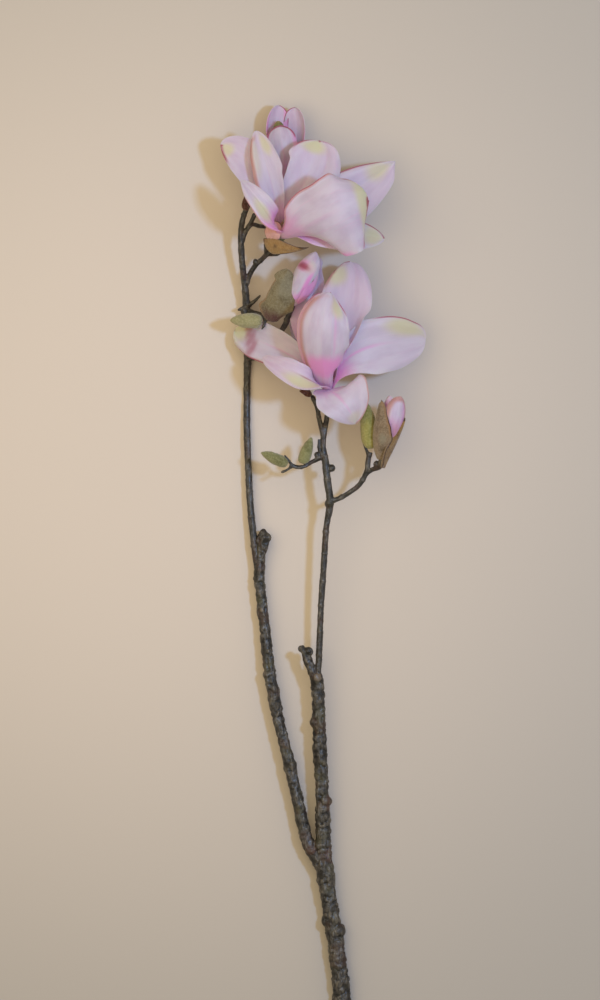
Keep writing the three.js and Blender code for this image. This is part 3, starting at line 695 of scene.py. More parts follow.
def carveBark(wood, stems, relief, swing):
    # The barkTone attribute holds relief, which paints shade into the furrows, rust and scars in its colour,
    # and a painted highlight on the upper side in its alpha.
    tree, steps = stemIndex(stems)
    mesh = wood.data
    normals = [vertex.normal.copy() for vertex in mesh.vertices]
    tone = mesh.attributes.new("barkTone", "FLOAT_COLOR", "POINT")
    for vertex, normal, entry in zip(mesh.vertices, normals, tone.data):
        point = drawn(vertex.co)
        center, ahead, radius, along = steps[tree.find(point)[1]]
        side = ahead.cross(Vector((0.3, 0.1, 1))).normalized()
        arm = point - center
        angle = math.atan2(arm.dot(side), arm.dot(side.cross(ahead)))
        around = Vector((math.cos(angle), math.sin(angle), 0))
        scar = nearSpots(point, leafScars)
        height = mix(relief(along, around, radius), barkPaint["scarHeight"], scar)
        vertex.co += normal * height * mm
        vertex.co.z = max(vertex.co.z, 0)
        patch = smooth(0.2, 0.45, drift(along / 12, around.x * 0.8, 4))
        rust = max(nearSpots(point, rustSpots) * barkPaint["rustSpots"], patch * barkPaint["rustPatches"])
        # Painted highlight: faces turned up, broken by noise, get a bluish sheen.
        paintedSheen = smooth(0.72, 0.97, normal.z) * smooth(-0.3, 0.25, drift(along / 8, 2, 6))
        # The first channel is the relief, which paints shade into the furrows.
        paint = (smooth(-swing, swing, height), rust, scar * barkPaint["scar"], paintedSheen * barkPaint["paintedSheen"])
        entry.color = paint
    mesh.update()


def makeWood(name, stems, knots, bluntStems, relief, look, bark):
    solids = [sweepStem(stem, stations) for stem, stations in stems.items()]
    solids += [addKnot(*knot) for knot in knots]
    solids += [roundOff(stems[stem]) for stem in bluntStems]
    wood = meltTogether(solids, name, look["voxel"])
    carveBark(wood, stems, relief, look["swing"])
    return dress(wood, bark)


def sawTrunk(wood):
    first, second = [Vector(station[:3]) for station in thickStems["trunkAndRightLimb"][:2]]
    wood.data.materials.append(cutWoodMaterial(place(*first)))
    ahead = (second - first).normalized()
    for face in wood.data.polygons:
        near = (drawn(face.center) - first).dot(ahead) < sawnFace["depth"]
        if near and face.normal.dot(ahead) < sawnFace["turned"]:
            face.material_index = 1


thickWood = makeWood("thickWood", thickStems, thickKnots, thickStems, knobbedRelief, oldBark, knobbedBark)
sawTrunk(thickWood)
handOver(thickWood, "branch_wood", "bark")
bluntThin = [stem for stem in thinStems if any(end in stem for end in ("Prong", "Spur", "Stub"))]
thinWood = makeWood("thinWood", thinStems, thinKnots, bluntThin, smoothRelief, youngBark, smoothBark)
handOver(thinWood, "branch_wood", "bark")
print("wood is carved")


# Tepals. spine: handles from the seat. pink: from the foot to here, faded out by here, strength. roll, lip,
# spread, tan and red: (side, from, to, millimetres) along a margin, with side -1, 0 for both, or 1.
# stain and spots: (across, along, half width, half length, strength). folds: (across, from, to, height).
blunt = {"claw": 0.22, "shoulder": 0.66, "point": 2.3}
narrow = {"claw": 0.5, "shoulder": 0.5, "point": 1.75}
hidden = {  # tepals that lie under the others
    "width": 34, "pink": (0.1, 0.5, 0.8), "rib": 0.5, "stain": [(0, 0.92, 0.6, 0.1, 0.6)],
    "red": [(0, 0.8, 1.0, 0.9)],
}
lowerTepals = {
    "Right": {
        "spine": [(10.4, 29.5, 14), (36, 37.5, 12), (78.5, 37.5, -18)], "facing": (-0.1, -0.1, 1),
        "width": 47, "cup": (0.35, 0.4), "shape": blunt,
        "spread": [(-1, 0.2, 0.55, -3), (-1, 0.55, 0.95, -1.5)], "pink": (0.12, 0.42, 0.85), "rib": 0.6,
        "wave": (1.2, 1.6, 0.5), "roll": [(-1, 0.55, 0.98, 3.0), (1, 0.4, 0.95, 1.4)],
        "stain": [(-0.6, 0.86, 0.5, 0.18, 0.75)], "pinkSpots": [(-1, 0.15, 0.25, 0.28, 0.95)],
        "red": [(-1, 0.66, 0.97, 1.3)], "folds": [(-0.35, 0.2, 0.7, 0.5), (0.45, 0.3, 0.9, 0.4)],
    },
    "BackRight": {
        "spine": [(4.8, 34.4, 12), (20, 70.4, 10), (18, 100.4, -10)], "facing": (0, 0, 1), "width": 43,
        "pink": (0.25, 0.55, 0.6), "rib": 0.3, "wave": (1.4, 1.3, 2.0), "haze": 0.9,
        "roll": [(-1, 0.7, 0.99, 4.5), (1, 0.62, 0.95, 2.5), (1, 0.05, 0.55, -5)],
        "spread": [(1, 0.15, 0.6, -4)], "stain": [(-0.6, 0.87, 0.6, 0.13, 0.75)],
        "folds": [(0.25, 0.6, 1.0, 0.8), (-0.4, 0.3, 0.8, 0.4)], "tan": [(-1, 0.74, 0.97, 3.2)],
        "red": [(-1, 0.83, 1.0, 1.0)],
    },
    "BackLeft": {
        "spine": [(-7.2, 30.4, -2), (-22, 66.4, -9), (-6.8, 104, -14)], "facing": (0, 0, 1), "width": 36,
        "spread": [(1, 0.55, 0.97, -4.5)], "pink": (0.3, 0.8, 0.6), "rib": 0.3, "wave": (1.0, 1.2, 1.0),
        "haze": 0.6,
    },
    "FrontInner": {
        "spine": [(-4, 12.8, 34), (-6.5, 52, 60), (3, 74.4, 36)], "facing": (0.1, 0.35, -0.9),
        "width": 48, "cup": (0.9, 0.7), "shape": {"claw": 0.62, "shoulder": 0.62, "point": 1.9},
        "pink": (0.05, 0.2, 0.5),
        "pinkSpots": [(0, 0.27, 1.8, 0.15, 0.95), (-0.42, 0.6, 0.07, 0.4, 0.35)],
        "wave": (0.5, 1.1, 0.3),
        "spread": [(-1, -0.1, 0.25, -6), (-1, -0.1, 0.42, -4), (-1, 0.5, 0.97, -1.6)],
        "lip": [(1, 0.12, 0.97, 3.2), (-1, 0.6, 0.97, 1.4)], "stain": [(-0.5, 0.86, 0.35, 0.14, 0.75)],
        "folds": [(-0.25, 0.3, 0.95, 0.6)], "tan": [(1, 0.1, 0.95, 6)],
        "red": [(-1, 0.82, 0.97, 1.0), (1, 0.86, 1.0, 0.7)],
    },
    "Left": {
        "spine": [(-21.6, 30, 12), (-50, 32, -12), (-73, 47, -32)], "facing": (0.2, -0.1, 1),
        "width": 32, "shape": blunt, "pink": (0.1, 0.4, 0.6), "rib": 0.3, "wave": (0.8, 1.4, 0.0),
        "roll": [(-1, 0.3, 0.9, 1.5), (0, 0.8, 1.0, 3.5)], "stain": [(0.1, 0.97, 1.3, 0.14, 0.85)],
        "redSpots": [(0.7, 0.89, 0.7, 0.04, 0.65), (0.3, 0.86, 0.7, 0.04, 0.65),
                     (-0.1, 0.82, 0.7, 0.045, 0.65), (-0.5, 0.77, 0.7, 0.045, 0.65)],
        "red": [(-1, 0.4, 0.9, 1.2)],
    },
    "FrontLeft": {
        "spine": [(-12, 4.4, 28), (-29.6, 14, 32), (-51, 24, 8)], "facing": (0, 0.25, 1), "width": 25,
        "shape": narrow, "pink": (0.1, 0.28, 0.6), "rib": 0.1, "wave": (0.5, 1.2, 1.0),
        "roll": [(1, 0.1, 0.6, 1.2)], "spread": [(1, 0.25, 0.95, -2.5)], "haze": 1,
        "stain": [(-0.45, 0.42, 0.6, 0.34, 0.85)], "redSpots": [(0.0, 0.26, 0.06, 0.3, 0.75)],
    },
    "Front": {
        "spine": [(4, -4, 15), (14.5, -9, 32), (22.4, -29, 12)], "facing": (0, 0.3, 1), "width": 46,
        "cup": (0.35, 0.3), "shape": {"claw": 0.3, "shoulder": 0.5, "point": 1.6}, "lean": 0.13,
        "pink": (0.2, 0.4, 0.35), "rib": 0.45, "wave": (0.6, 1.3, 1.5),
        "pinkSpots": [(0, 0.6, 0.05, 0.35, 0.3)], "spread": [(-1, -0.1, 0.3, 2.4), (1, 0.02, 0.24, 4.5)],
        "stain": [(-0.1, 0.93, 0.8, 0.1, 0.4)], "tan": [(-1, 0.45, 1.0, 1.3)],
    },
    "LowRight": {
        **hidden, "spine": [(14.4, 23, -24), (32.8, 35, -44), (54, 43, -44)], "facing": (-0.1, 0, 1),
        "wave": (0.6, 1.5, 0.5),
    },
    "LowLeft": {
        **hidden, "spine": [(-4, 20, -22), (-16, 50, -36), (-19, 70, -40)], "facing": (0.1, 0, 1),
        "wave": (0.6, 1.3, 1.5),
    },
}
upperTepals = {
    "Left": {
        "spine": [(-8.4, 30.4, 0), (-22, 69, -2), (-48, 73.5, -6)], "facing": (0.2, -0.1, 1),
        "width": 32, "pink": (0.2, 0.5, 0.7), "rib": 0.2, "wave": (0.8, 1.2, 0.4), "haze": 0.5,
        "roll": [(-1, 0.8, 1.0, 2.0)], "stain": [(-0.25, 0.92, 0.7, 0.1, 0.75)],
        "red": [(-1, 0.84, 1.0, 2.6)],
    },
    "LeftCentre": {
        "spine": [(-1.6, 26.4, 10), (-12, 58.4, 14), (-20, 84, 2)], "facing": (0.1, 0, 1), "width": 26,
        "shape": {"claw": 0.3, "shoulder": 0.55, "point": 1.7}, "pink": (0.2, 0.42, 0.6), "rib": 0.15,
        "wave": (0.5, 1.2, 0.0), "haze": 0.4, "roll": [(-1, 0.15, 0.95, 3.5)],
        "spread": [(1, 0.15, 0.6, -2.5)],
        "stain": [(0.45, 0.85, 0.5, 0.13, 0.7), (-0.6, 0.75, 0.4, 0.25, 0.4)],
        "tan": [(-1, 0.12, 0.95, 3.4)],
    },
    "Top": {
        "spine": [(5.6, 26.4, 2), (26.8, 50.8, 4), (31.4, 76.4, -2)], "facing": (0, 0, 1), "width": 47,
        "shape": blunt, "pink": (0.2, 0.42, 0.6), "rib": 0.2, "wave": (1.2, 1.4, 1.2),
        "roll": [(-1, 0.7, 1.0, 2.4), (1, 0.45, 0.9, 2.5)], "folds": [(0.42, 0.55, 1.0, 0.9)],
        "spread": [(-1, 0.25, 0.75, -4.5)], "stain": [(-0.25, 0.93, 0.75, 0.1, 0.85)],
        "red": [(-1, 0.84, 1.0, 1.5), (1, 0.98, 1.0, 1.3)], "haze": 0.6,
    },
    "FrontRight": {
        "spine": [(12.8, 0.6, 38), (43.2, 22, 66), (69.4, 28.5, 38)], "facing": (-0.1, 0.12, -0.95),
        "width": 62, "cup": (0.9, 0.7), "shape": {"claw": 0.32, "shoulder": 0.56, "point": 4},
        "pink": (0.22, 0.4, 0.55), "pinkSpots": [(-1, 0.4, 0.14, 0.3, 0.85)], "rib": 0.15,
        "wave": (0.6, 1.2, 0.3), "lip": [(1, 0.1, 0.8, 2.4)],
        "roll": [(0, 0.9, 1.0, -2.0), (-1, 0.2, 1.0, 3.0)],
        "spread": [(-1, 0.4, 0.95, 7), (-1, 0.05, 0.97, 4), (1, 0.8, 1.0, -6), (1, -0.1, 0.28, -6)],
        "stain": [(0, 0.95, 1.2, 0.08, 0.8)], "folds": [(-0.25, 0.25, 0.8, 0.7)],
        "tan": [(1, 0.1, 0.8, 2.0)], "red": [(0, 0.86, 1.0, 3.0), (1, 0.3, 0.75, 0.8)],
    },
    "Right": {
        "spine": [(23.2, 18.4, 4), (62, 34, 6), (91, 60, -8)], "facing": (0, 0, 1), "width": 41,
        "shape": {"claw": 0.24, "shoulder": 0.6, "point": 1.35}, "spread": [(1, 0.5, 0.95, 3.5)],
        "pink": (0.1, 0.3, 0.4), "rib": 0.15, "wave": (1.0, 1.5, 0.7), "haze": 0.4,
        "roll": [(-1, 0.55, 1.0, 3.0)], "folds": [(-0.1, 0.5, 1.0, 0.6)],
        "stain": [(-0.3, 0.87, 0.75, 0.12, 0.7)], "red": [(-1, 0.6, 0.97, 1.6)],
    },
    "BottomRight": {
        "spine": [(19.2, 6, 18), (50, 2, 18), (82.4, -1.6, -2)], "facing": (0, 0.2, 1), "width": 29,
        "shape": {"claw": 0.22, "shoulder": 0.62, "point": 1.7}, "pink": (0.2, 0.7, 0.55), "rib": 0.2,
        "wave": (0.7, 1.3, 0.9), "roll": [(-1, 0.5, 1.0, 1.6), (1, 0.3, 0.9, 1.4)],
        "stain": [(-0.1, 0.9, 1.2, 0.12, 0.75)], "red": [(-1, 0.8, 1.0, 1.5)],
    },
    "FrontLeft": {
        "spine": [(-4, 10, 30), (-15.2, 25, 46), (-31.2, 44, 30)], "facing": (0.3, 0.2, 1), "width": 20,
        "shape": narrow, "pink": (0.3, 0.6, 0.9), "rib": 0.1, "wave": (0.4, 1.2, 0.9),
        "roll": [(-1, 0.3, 0.9, 1.5)], "stain": [(-0.25, 0.55, 0.6, 0.25, 0.75)],
        "tan": [(-1, 0.3, 0.8, 0.9)],
    },
    "Low": {
        **hidden, "spine": [(7.2, 18.4, -14), (27.2, 42.4, -24), (40.8, 64, -28)], "facing": (0, 0, 1),
        "wave": (0.6, 1.3, 1.5),
    },
    "LowRight": {
        **hidden, "spine": [(13.6, 8, -16), (39.2, 18.4, -36), (69.6, 28, -40)], "facing": (0, 0, 1),
        "wave": (0.6, 1.3, 0.2),
    },
}
plainBlade = {  # what a blade is where its look says nothing
    "thickness": 0.9, "rim": 0.45,  # millimetres, and the share of them left at the margin
    "columns": 34, "rows": 46, "shape": {}, "facing": None, "lean": 0,
    "cup": (0.75, 0.4),  # radians from the middle to a side, at the foot and at the tip
    "wave": (0, 1, 0),  # height, waves from foot to tip, start
    "roll": [], "lip": [], "spread": [], "folds": [], "tan": [], "red": [], "rib": 0, "haze": 0,
    "pink": (0, 0.1, 0), "pinkSpots": [], "stain": [], "tanSpots": [], "redSpots": [],
}
bladeForm = {
    "rollFrom": 0.62, "lipFrom": 0.84, "foldWidth": 0.1, "ribWidth": 0.06,  # shares of the half width
    "ribDepth": 0.5, "dimples": 0.8,  # millimetres
    "unevenSides": 0.07, "steps": 90,
    "crowdSides": 1.5, "crowdTip": 1.8,  # powers that draw the columns and rows to the margins
    "clearance": 0.6,  # thicknesses between a blade's middle and the floor
}
tepalPaint = {
    "grain": 0.04, "haze": 0.1, "red": 0.9, "tan": 0.85,
    "ribWidth": (0.065, 0.035), "ribFades": (0.45, 0.85),
    "tanEdge": (0.55, 1.15), "redEdge": (0.5, 1.2), "spotEdge": (0.35, 1.1),
}
spotKinds = ("pinkSpots", "stain", "tanSpots", "redSpots")
tepalRing = 2.8  # from the middle of a receptacle to where the tepals start
firstSeed = {
    "lowerBloom": 0, "upperBloom": 9, "upperBud": 30, "closedBuds": 40, "feltedBuds": 50, "scales": 60,
    "leafBuds": 70, "hearts": 90,
}


def outline(t, claw=0.24, shoulder=0.62, point=1.9):
    if t < shoulder:
        return claw + (1 - claw) * math.sin(t / shoulder * math.pi / 2) ** 1.5
    past = (t - shoulder) / (1 - shoulder)
    return max(0.02, (1 - min(1, past) ** point) ** (1 / point))


def bezier(handles, t):
    a, b, c, d = handles
    return a * (1 - t) ** 3 + b * 3 * t * (1 - t) ** 2 + c * 3 * t * t * (1 - t) + d * t**3


def bezierAhead(handles, t):
    a, b, c, d = handles
    return ((b - a) * (1 - t) ** 2 + (c - b) * 2 * t * (1 - t) + (d - c) * t * t).normalized()


def facingNormals(handles, inner, facing):
    # The way the inner side faces along a spine: carried from its root, or turned to a given way.
    normals = []
    carried = inner.normalized()
    for i in range(bladeForm["steps"] + 1):
        t = i / bladeForm["steps"]
        normal = carried.copy()
        if facing:
            normal = normal.lerp(Vector(facing).normalized(), smooth(0, 0.5, t))
        ahead = bezierAhead(handles, t)
        normal = (normal - ahead * normal.dot(ahead)).normalized()
        if not facing:
            carried = normal
        normals.append(normal)
    return normals


def normalAt(normals, t):
    position = t * bladeForm["steps"]
    low = min(int(position), bladeForm["steps"] - 1)
    return normals[low].lerp(normals[low + 1], position - low).normalized()


def bandsAt(bands, u, t):
    # The bands along the margins that act at a point, each fading at its ends.
    for side, start, end, amount in bands:
        if side * u >= 0:
            fade = smooth(start - 0.05, start + 0.07, t)
            if end < 1:
                fade *= 1 - smooth(end - 0.05, end + 0.03, t)
            yield amount, fade


def marginPull(bands, u, t):
    return sum(amount * fade for amount, fade in bandsAt(bands, u, t))


def marginPaint(bands, u, t, edge, soft):
    return sum(fade * (1 - smooth(*soft, edge / width)) for width, fade in bandsAt(bands, u, t))


def bell(value, width):
    return math.exp(-((value / width) ** 2))


def bladeSurface(handles, normals, look, seed):
    # u runs from -1 to 1 across a blade and t from 0 at its foot to 1 at its tip.
    waveHeight, waveCount, wavePhase = look["wave"]

    def surface(u, t):
        ahead, normal = bezierAhead(handles, t), normalAt(normals, t)
        side = ahead.cross(normal).normalized()
        flank = math.copysign(1, u)
        uneven = drift(3 * flank + seed, t * 4.5, 0) * smooth(0.15, 0.5, t)
        half = look["width"] / 2 * outline(t, **look["shape"])
        half *= (1 - look["lean"] * flank) * (1 + bladeForm["unevenSides"] * uneven)
        bend = mix(*look["cup"], t)
        across = half / bend * math.sin(bend * u)
        deep = half / bend * (1 - math.cos(bend * u))
        curl = max(0, abs(u) - bladeForm["rollFrom"]) / (1 - bladeForm["rollFrom"])
        deep -= curl * curl * marginPull(look["roll"], u, t)
        deep -= smooth(bladeForm["lipFrom"], 1, abs(u)) * marginPull(look["lip"], u, t)
        across += flank * abs(u) ** 1.6 * marginPull(look["spread"], u, t)
        for middle, start, end, rise in look["folds"]:
            fade = smooth(start, start + 0.15, t) * (1 - smooth(end - 0.15, end, t))
            deep -= rise * fade * bell(u - middle, bladeForm["foldWidth"])
        ripple = math.sin(2 * math.pi * (waveCount * t) + wavePhase + 1.3 * u)
        deep += waveHeight * ripple * abs(u) ** 2.5 * smooth(0.15, 0.6, t)
        deep -= bladeForm["ribDepth"] * bell(u, bladeForm["ribWidth"]) * (1 - t) ** 0.4 * smooth(0, 0.1, t)
        dimple = drift(u * 1.1 + seed, t * 2.4, seed * 1.7)
        deep += bladeForm["dimples"] * dimple * smooth(0.1, 0.4, t)
        return bezier(handles, t) + side * across + normal * deep

    return surface


def spotShare(spots, u, t, grain):
    # How strongly soft spots colour a point.
    total = 0
    for across, along, wide, high, strength in spots:
        reach = math.hypot((u - across) / wide, (t - along) / high) + grain * 2
        total = max(total, strength * (1 - smooth(*tepalPaint["spotEdge"], reach)))
    return total


def paintBlush(mesh, coordinates, edges, look):
    # The blush attribute holds pink, stain and red in its colour and tan in its alpha. An edge is how far
    # a point lies from the margin.
    layer = mesh.attributes.new("blush", "FLOAT_COLOR", "POINT")
    pinkStart, pinkEnd, pinkStrength = look["pink"]
    for entry, (u, t), edge in zip(layer.data, coordinates, edges):
        grain = tepalPaint["grain"] * drift(u * 5, t * 3, 1.5)
        rib = bell(u, mix(*tepalPaint["ribWidth"], t)) * (1 - smooth(*tepalPaint["ribFades"], t))
        spots = {kind: spotShare(look[kind], u, t, grain) for kind in spotKinds}
        foot = pinkStrength * (1 - smooth(pinkStart, pinkEnd, t + grain))
        pink = max(foot, look["rib"] * rib, look["haze"] * tepalPaint["haze"], spots["pinkSpots"])
        tan = max(marginPaint(look["tan"], u, t, edge, tepalPaint["tanEdge"]), spots["tanSpots"])
        red = max(marginPaint(look["red"], u, t, edge, tepalPaint["redEdge"]), spots["redSpots"])
        tints = (min(1, red) * tepalPaint["red"], min(1, tan) * tepalPaint["tan"])
        entry.color = (min(1, pink), spots["stain"], *tints)


def clearBlush(mesh):
    # A new colour layer starts white, so a piece with nothing painted on it is cleared.
    for entry in mesh.attributes.new("blush", "FLOAT_COLOR", "POINT").data:
        entry.color = (0, 0, 0, 0)


def makeBlade(name, handles, inner, look, materials, seed):
    look = {**plainBlade, **look}
    bpy.ops.mesh.primitive_grid_add(x_subdivisions=look["columns"], y_subdivisions=look["rows"], size=2)
    blade = bpy.context.object
    blade.name = blade.data.name = name
    mesh = blade.data
    coordinates = []
    for vertex in mesh.vertices:
        u, t = vertex.co.x, (vertex.co.y + 1) / 2
        u = math.copysign(1 - (1 - abs(u)) ** bladeForm["crowdSides"], u)
        coordinates.append((u, 1 - (1 - t) ** bladeForm["crowdTip"]))
    surface = bladeSurface(handles, facingNormals(handles, inner, look["facing"]), look, seed)
    places = [surface(u, t) for u, t in coordinates]
    margin = treeOf([point for point, (u, t) in zip(places, coordinates) if abs(u) > 0.999 or t > 0.999])
    paintBlush(mesh, coordinates, [margin.find(point)[2] for point in places], look)
    body = blade.vertex_groups.new(name="body")
    for vertex, point, (u, t) in zip(mesh.vertices, places, coordinates):
        vertex.co = place(point.x, point.y, max(point.z, bladeForm["clearance"] * look["thickness"]))
        body.add([vertex.index], min(1 - smooth(0.75, 1, abs(u)), 1 - smooth(0.92, 1, t)), "REPLACE")
    uv = mesh.uv_layers.active
    for loop in mesh.loops:
        u, t = coordinates[loop.vertex_index]
        uv.data[loop.index].uv = ((u + 1) / 2, t)
    wall = blade.modifiers.new("wall", "SOLIDIFY")
    wall.thickness = look["thickness"] * mm
    wall.offset = 0
    wall.vertex_group = "body"
    wall.thickness_vertex_group = look["rim"]
    wall.material_offset = 1
    return finishShape(dress(blade, *materials), 1)


def makeTepal(name, seat, ring, look, seed):
    first, second, tip = [Vector(handle) + seatAt[seat] for handle in look["spine"]]
    aim = seatAim[seat]
    outward = first - seatAt[seat]
    outward = (outward - aim * outward.dot(aim)).normalized()
    handles = (seatAt[seat] + outward * ring, first, second, tip)
    return makeBlade(name, handles, aim - outward, look, (tepalInside, tepalOutside), seed)


def turnProfile(name, profile, at, aim, sides):
    # A profile of (radius, height) turned round an axis: a disc drawn out ring by ring.
    bpy.ops.mesh.primitive_circle_add(vertices=sides, radius=1, fill_type="NGON", location=(0, 0, 0))
    turned = bpy.context.object
    turned.name = turned.data.name = name
    bpy.ops.object.mode_set(mode="EDIT")
    bpy.ops.mesh.select_all(action="SELECT")
    radius, height = profile[0]
    bpy.ops.transform.resize(value=(radius * mm,) * 3, center_override=(0, 0, 0))
    bpy.ops.transform.translate(value=(0, 0, height * mm))
    for (radius, height), (wider, higher) in zip(profile, profile[1:]):
        bpy.ops.mesh.extrude_region_move(TRANSFORM_OT_translate={"value": (0, 0, (higher - height) * mm)})
        grow = wider / radius
        bpy.ops.transform.resize(value=(grow, grow, 1), center_override=(0, 0, 0))
    bpy.ops.mesh.select_all(action="SELECT")
    bpy.ops.mesh.normals_make_consistent(inside=False)
    bpy.ops.object.mode_set(mode="OBJECT")
    turned.rotation_euler = Vector(aim).to_track_quat("Z", "Y").to_euler()
    turned.location = place(*at)
    bpy.ops.object.transform_apply(location=True, rotation=True, scale=True)
    return turned


def receptacleKnob(name, seat):
    half, root, waist, top = receptacle.values()
    foot = [(root, -half), (root * 1.1, -half * 0.8), (waist, -0.6)]
    crown = [(waist, 0.8), (top, half * 0.8), (top * 0.8, half)]
    knob = turnProfile(name, foot + crown, seatAt[seat], seatAim[seat], 24)
    return dress(finishShape(knob, 2), fleshes["knobGreen"])


def makeBloom(seat, tepals, node):
    for number, (name, look) in enumerate(tepals.items()):
        handOver(makeTepal(seat + name, seat, tepalRing, look, firstSeed[seat] + number), node, "tepal")
    handOver(receptacleKnob(seat + "Knob", seat), node, "tepal")


makeBloom("lowerBloom", lowerTepals, "lower_bloom_tepals")
makeBloom("upperBloom", upperTepals, "upper_bloom_tepals")
print("blooms are open")


# Buds: a turned core, and blades wrapped round it. turn: 0 is the bud's left and a quarter turn its front.
# wrap: half of what a blade goes round, in radians. close: how far its tip stands out, in girths.
# budCores: points (radius, height) in millimetres, then a form of (girths, lengths).
budCores = {
    "closed": {
        "foot": [(2.3, -1.3)], "sides": 16, "lumps": 0.2,
        "form": [(0.55, 0.12), (0.72, 0.3), (0.66, 0.62), (0.3, 0.86), (0.08, 0.93)],
    },
    "halfOpen": {
        "foot": [(2.6, 0), (4, 5), (5, 14), (5.6, 30), (5.2, 41), (3.4, 45.6), (0.8, 47)], "sides": 16,
        "lumps": 0.4, "form": [],
    },
    "felted": {
        "foot": [(1.6, 0)], "sides": 16, "lumps": 0.5,
        "form": [(0.7, 0.05), (0.92, 0.16), (0.98, 0.36), (0.88, 0.6), (0.62, 0.8), (0.3, 0.94), (0.1, 1)],
    },
    "leaf": {
        "foot": [], "sides": 12, "lumps": 0.25,
        "form": [(0.6, 0.0), (0.9, 0.15), (1.0, 0.3), (0.75, 0.6), (0.35, 0.88), (0.08, 1)],
    },
}
wrapForm = {"gap": 0, "root": 0, "belly": 1.35}  # where a look says nothing else


def makeWrap(name, at, aim, look, materials, seed):
    look = {**wrapForm, **look}
    across = Vector((0, 0, 1)).cross(aim).normalized()
    outward = Quaternion(aim, look["turn"]) @ across
    girth, gap, wrap = look["girth"], look["gap"], look["wrap"]
    stations = [(0.02 - look["root"], 0.12), (0.2, look["belly"]), (0.72, 1.3), (1, look["close"])]
    handles = [at + aim * look["length"] * along + outward * (girth * out + gap) for along, out in stations]
    blade = {"cup": (wrap, wrap), **look, "width": 2 * wrap * (girth + gap)}
    return makeBlade(name, handles, -outward, blade, materials, seed)


def makeSpindle(name, at, aim, profile, sides, lumps, material):
    spindle = finishShape(turnProfile(name, profile, at, aim, sides), 2)
    for vertex in spindle.data.vertices:
        vertex.co += vertex.normal * noise.noise(vertex.co * 260) * lumps * mm
    clearBlush(spindle.data)
    return dress(spindle, material)


def budCore(name, kind, at, aim, girth, length, material):
    core = budCores[kind]
    profile = core["foot"] + [(girth * wide, length * high) for wide, high in core["form"]]
    return makeSpindle(name, at, aim, profile, core["sides"], core["lumps"], material)


# Closed pink buds.
closedBuds = {
    "middleBud": {
        "node": "middle_bud_tepals", "length": 46, "girth": 9.2, "close": 0.12,
        "wraps": [
            {
                "turn": 0.95, "wrap": 1.5, "gap": 0.5, "pink": (0.0, 0.25, 0.3), "haze": 0.5,
                "redSpots": [(0, 0.7, 0.6, 0.075, 1)], "stain": [(-0.45, 0.74, 0.4, 0.14, 0.4)],
                "pinkSpots": [(0, 0.72, 0.9, 0.12, 0.7), (-0.68, 0.42, 0.2, 0.4, 0.95),
                              (-0.8, 0.16, 1, 0.14, 0.8)], "red": [(-1, 0.1, 0.6, 1.3)],
            },
            {"turn": 2.7, "wrap": 1.3, "reach": 0.96, "pink": (0.5, 0.8, 0.9), "red": [(0, 0, 0.6, 1.2)]},
            {"turn": 4.5, "wrap": 1.2, "reach": 0.93, "pink": (0.3, 0.8, 0.8), "haze": 3},
        ],
    },
    "rightBud": {
        "node": "right_bud_tepals", "length": 52, "girth": 9.5, "close": 0.62,
        "wraps": [
            {
                "turn": 2.1, "wrap": 1.2, "gap": 0.4, "pink": (0.45, 0.8, 0.75), "haze": 1,
                "tan": [(0, 0.3, 1, 5)], "belly": 0.9, "roll": [(1, 0.3, 0.9, 0.8), (-1, 0.3, 0.9, 0.8)],
                "pinkSpots": [(-0.6, 0.6, 0.5, 0.6, 0.6)], "tanSpots": [(0, 0.36, 1.6, 0.3, 0.6)],
            },
            {"turn": 4.3, "wrap": 1.2, "reach": 0.96, "pink": (0.3, 0.9, 0.7), "haze": 3, "belly": 1.0},
            {
                "turn": 0.6, "wrap": 1.1, "reach": 0.97, "pink": (0.4, 0.8, 0.9), "haze": 2,
                "belly": 0.9, "redSpots": [(-0.2, 0.74, 1.4, 0.2, 0.9)],
            },
        ],
    },
}
closedWrap = {"shape": {"claw": 0.3, "shoulder": 0.6, "point": 2.3}, "reach": 1, "columns": 30, "rows": 34}


def makeClosedBud(seat, bud):
    at, aim, girth, length = seatAt[seat], seatAim[seat], bud["girth"], bud["length"]
    core = budCore(seat + "Core", "closed", at, aim, girth, length, fleshes["tepalCore"])
    handOver(core, bud["node"], "tepal")
    for number, wrap in enumerate(bud["wraps"]):
        look = {"wave": (0.5, 1.2, number), "girth": girth, "close": bud["close"], **closedWrap, **wrap}
        look["length"] = length * look["reach"]
        name, seed = seat + "Wrap" + str(number + 1), firstSeed["closedBuds"] + number
        handOver(makeWrap(name, at, aim, look, (tepalInside, tepalOutside), seed), bud["node"], "tepal")


for seat, bud in closedBuds.items():
    makeClosedBud(seat, bud)

